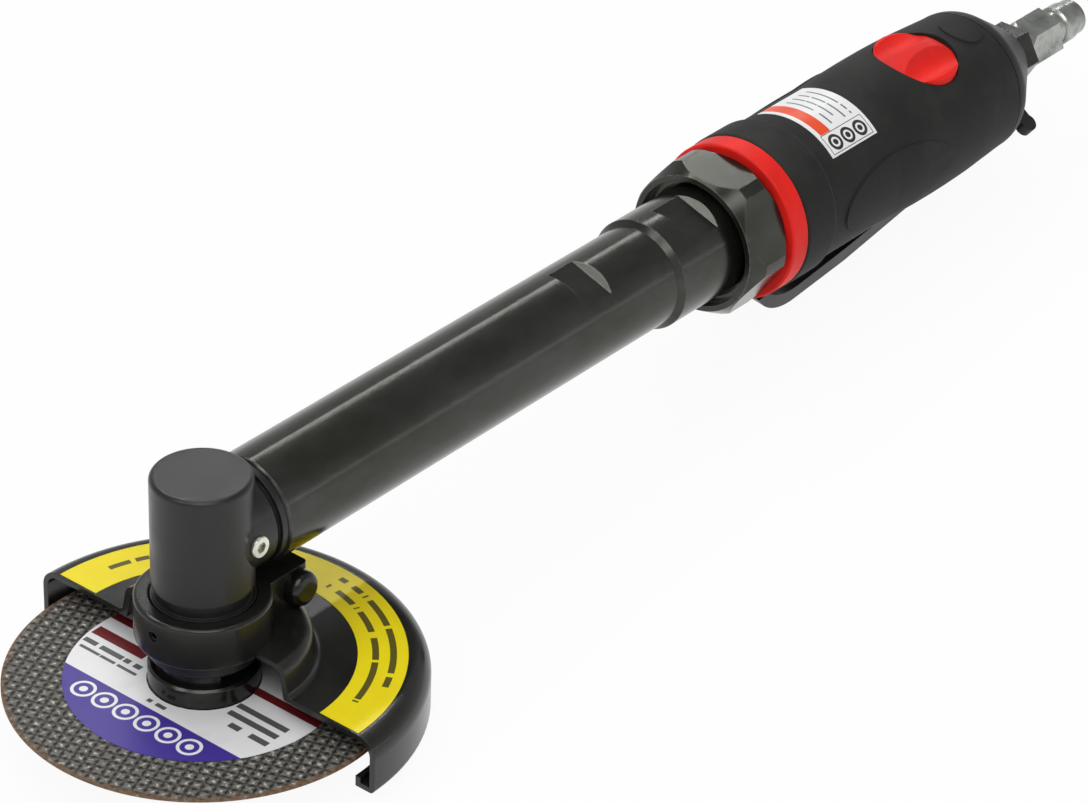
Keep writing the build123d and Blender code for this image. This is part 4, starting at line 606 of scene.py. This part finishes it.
def makeGripPrint(name, settings):
    shader = Shader(name, Specular_IOR_Level=0.5)
    low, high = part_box("grip_label")
    x, y, z = shader.axes()
    lean = shader.node("Math", {"operation": "ARCTAN2"}, {0: y * -1, 1: z - toolHeight})
    s = (settings["end"] - lean) * (high.z - toolHeight)
    t = x - low.x
    bar = t.between(*settings["barT"]) * (s > settings["barS"])
    step, radius = settings["ringStep"], settings["ringRadius"]
    place = (t - settings["ringT"]) / step
    dt, ds = (place.fraction() - 0.5) * step, s - settings["ringS"]
    reach = (dt * dt + ds * ds) ** 0.5
    inRow = place.between(0, settings["ringCount"])
    ring = (reach < radius) * inRow * (reach > radius * settings["ringInner"])
    core = (reach < radius * settings["ringCore"]) * inRow
    front, back = settings["frameT"]
    foot, top = settings["frameS"]
    half, overrun = settings["halfLine"], settings["overrun"]
    sides = (abs(s - top) < half).largest(abs(s - foot) < half)
    sides = sides * t.between(front - overrun, back + overrun)
    ends = (abs(t - front) < half).largest(abs(t - back) < half)
    ink = ring.largest(core).largest(sides).largest(ends * s.between(foot, top))
    height, length = settings["rowHeight"], settings["dashLength"]
    for centre in settings["rows"]:
        row = dashes(shader, s, t, centre, height, length)
        ink = ink.largest(row * s.between(*settings["rowS"]) * 0.85)
    color = shader.mix(bar, settings["white"], settings["orange"])
    shader.paint(color=shader.mix(ink, color, settings["ink"]), roughness=0.35)
    shader.bump(shader.noise(settings["grain"], detail=2), filmDepth, 0.4)
    return shader.material


dress(makeEnamel("headEnamel", enamel), "angle_head_housing", "bearing_cap")
dress(makeEnamel("guardEnamel", guardPaint), "guard_shell", "guard_collar")
dress(makeEnamel("leverEnamel", leverPaint), "throttle_lever")
dress(makeOxideSteel("oxideSteel", oxide), "extension_tube", "coupling_sleeve", "clamp_nut")
dress(makeOxideSteel("darkSteel", darkOxide), "inlet_bushing", "wheel_flange_inner",
      "wheel_flange_outer", "spindle", "wheel_screw", "guard_clamp_screw", "guard_clamp_nut",
      "guard_set_screw")
dress(makeZinc("zincPlate", zinc), "air_plug")
dress(makeZinc("brightZinc", brightZinc), "grease_fitting")
finishes = {key: makeMoulded(key, value) for key, value in moulded.items()}
finishes |= {key: makeMachined(key, value) for key, value in innerMetals.items()}
dress(finishes["redPlastic"], "red_ring", "regulator_knob")
dress(finishes["blackPlastic"], "exhaust_deflector")
dress(finishes["vaneComposite"], "rotor_vanes")
dress(finishes["sealRubber"], "regulator_seal")
dress(finishes["pressedFelt"], "exhaust_muffler")
dress(finishes["castIron"], "motor_cylinder", "motor_front_plate", "motor_rear_plate")
dress(finishes["housingAlloy"], "motor_housing")
dress(finishes["bronze"], "spindle_upper_bush", "shaft_steady_bush", "valve_bushing",
      "inlet_strainer", "valve_stem")
bearingNames = [name for name in nodes if "bearing_" in name and name != "bearing_cap"]
dress(finishes["groundSteel"], "bevel_gear", "bevel_pinion", "drive_shaft", "shaft_coupling",
      "rotor", "pinion_journal_nut", "pinion_lock_ring", "lever_pin", "valve_spring",
      "motor_retainer", *bearingNames)
dress(makeGripRubber("gripRubber", gripRubber), "handle_grip")
dress(makeWheelGrit("wheelGrit", wheel), "cutting_wheel")
dress(makeWheelPrint("wheelPrint", wheelPrint), "wheel_label")
dress(makeGuardPrint("guardPrint", guardPrint), "guard_label")
dress(makeGripPrint("gripPrint", gripPrint), "grip_label")
print("finishes made:", len(bpy.data.materials))

# valve spring: a coil drawn in place of the part's own spring
coil = {
    "radius": 2.9 * mm,
    "wire": 0.34 * mm,  # its radius
    "sides": 12,
    "height": 2.55 * mm,  # of the wire's centre line
    "turns": 3,
    "steps": 90,
    "travel": 1.5 * mm,
}


def makeCoil(settings):
    low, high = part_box("valve_spring")
    slide = next(joint for joint in frame["joints"] if joint["name"] == "valve_slide")
    axis, height = Vector(slide["axis"]), settings["height"]
    foot = (low + high) / 2 - axis * height / 2
    start = Matrix.Translation(foot + Vector((settings["radius"], 0, 0)))
    mesh = bmesh.new()
    bmesh.ops.create_circle(
        mesh, cap_ends=True, segments=settings["sides"], radius=settings["wire"],
        matrix=start @ Matrix.Rotation(math.pi / 2, 4, "X"),
    )
    bmesh.ops.spin(
        mesh, geom=mesh.verts[:] + mesh.edges[:] + mesh.faces[:], cent=foot, axis=axis,
        dvec=axis * height / settings["steps"], angle=2 * math.pi * settings["turns"],
        steps=settings["steps"],
    )
    bmesh.ops.recalc_face_normals(mesh, faces=mesh.faces)
    for face in mesh.faces:
        face.smooth = True
    data = bpy.data.meshes.new("valveCoil")
    mesh.to_mesh(data)
    mesh.free()
    piece = bpy.data.objects.new("valveCoil", data)
    bpy.context.scene.collection.objects.link(piece)
    data.materials.append(finishes["groundSteel"])
    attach(piece, "tool_body")
    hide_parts("valve_spring")
    full = height + 2 * settings["wire"]
    top = foot + axis * (height + settings["wire"])
    keep = 1 - settings["travel"] / full
    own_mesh(piece)


makeCoil(coil)
print("coil made")

# stage: a pale floor that the guard's lip and the lever rest on
floorSettings = {
    "half": 3.0,
    "color": (0.86, 0.86, 0.86),
    "rough": 0.9,
    "glow": 0.94,
    "leverRest": 238 * mm,  # x where the lever rests
    "lipInset": 1.5 * mm,  # the guard rests this far inside its rear edge
    "clearance": 0.1 * mm,
}


def makeFloor(settings):
    guardLow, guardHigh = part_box("guard_shell")
    leverLow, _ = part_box("throttle_lever")
    leverRest = Vector((settings["leverRest"], 0, leverLow.z))
    guardRest = Vector((guardHigh.x - settings["lipInset"], 0, guardLow.z))
    slope = (leverRest.z - guardRest.z) / (leverRest.x - guardRest.x)
    mesh = bmesh.new()
    bmesh.ops.create_grid(mesh, x_segments=1, y_segments=1, size=settings["half"])
    tilt = Matrix.Rotation(-math.atan(slope), 3, "Y")
    bmesh.ops.rotate(mesh, verts=mesh.verts, matrix=tilt)
    drop = Vector((0, 0, settings["clearance"]))
    bmesh.ops.translate(mesh, verts=mesh.verts, vec=guardRest - drop)
    data = bpy.data.meshes.new("floor")
    mesh.to_mesh(data)
    mesh.free()
    floor = bpy.data.objects.new("floor", data)
    bpy.context.scene.collection.objects.link(floor)
    shader = Shader("floorPaper", Roughness=settings["rough"], Base_Color=settings["color"])
    camera, glossy, clear = shader.rays()
    seen = camera.largest(glossy).largest(clear)
    glow = shader.node("Emission", None, {"Color": (1, 1, 1), "Strength": 1.0})
    lit = Value(shader, shader.surface.outputs[0])
    paper = shader.node("MixShader", None, {0: seen * settings["glow"], 1: lit, 2: glow})
    under = shader.node("NewGeometry", output="Backfacing")  # clear when seen from below
    nothing = shader.node("BsdfTransparent")
    both = shader.node("MixShader", None, {0: under, 1: paper, 2: nothing})
    shader.feed(shader.tree.nodes["Material Output"].inputs["Surface"], both)
    data.materials.append(shader.material)


makeFloor(floorSettings)

# lamps: place and size in metres, power in watts; "level" lays a lamp parallel to the tube
lamps = {
    "key": {"place": (-0.5, -0.55, 1.1), "size": (0.9, 0.9), "power": 6.9},
    "top": {"place": (0.3, 0.3, 1.3), "size": (0.9, 0.9), "power": 4.5},
    "front": {"place": (-0.76, 0.17, 0.92), "size": (0.36, 0.36), "power": 1.7},
    "streak": {"place": (0.78, 0.6, 0.77), "size": (1.6, 0.03), "power": 3.2, "level": True},
    "strip": {"place": (0.6, -1.27, 0.31), "size": (1.8, 0.02), "power": 0.8, "level": True},
}
aim = (cadLow + cadHigh) / 2


def makeLamps(settings):
    for name, lamp in settings.items():
        light = bpy.data.lights.new(name, "AREA")
        light.shape, light.energy = "RECTANGLE", lamp["power"]
        light.size, light.size_y = lamp["size"]
        made = bpy.data.objects.new(name, light)
        bpy.context.scene.collection.objects.link(made)
        made.location = lamp["place"]
        turned = (aim - Vector(lamp["place"])).to_track_quat("-Z", "Y").to_euler()
        if lamp.get("level"):
            drop = made.location - Vector((made.location.x, 0, toolHeight))
            turned = (-math.atan2(drop.y, drop.z), 0, 0)
        made.rotation_euler = turned


sky = {"ambient": 0.32, "horizon": 0.7, "zenith": 0.25, "zenithFrom": 0.9}


def makeWorld(settings):
    # white to the camera, pale at the horizon and darker overhead in reflections
    world = bpy.data.worlds.new("studio")
    bpy.context.scene.world = world
    world.use_nodes = True
    shader = Shader("studio", tree=world.node_tree)
    camera, glossy, clear = shader.rays()
    _, _, up = shader.axes(shader.node("TexCoord", output="Generated"))
    fade = up.ease(0.0, settings["zenithFrom"], settings["horizon"], settings["zenith"])
    strength = camera.largest(clear).largest(glossy * fade).largest(settings["ambient"])
    background = world.node_tree.nodes["Background"]
    shader.feed(background.inputs["Strength"], strength)
    shader.feed(background.inputs["Color"], (1, 1, 1))


makeLamps(lamps)
makeWorld(sky)
bpy.context.scene.view_settings.view_transform = "Standard"
print("stage and light made")
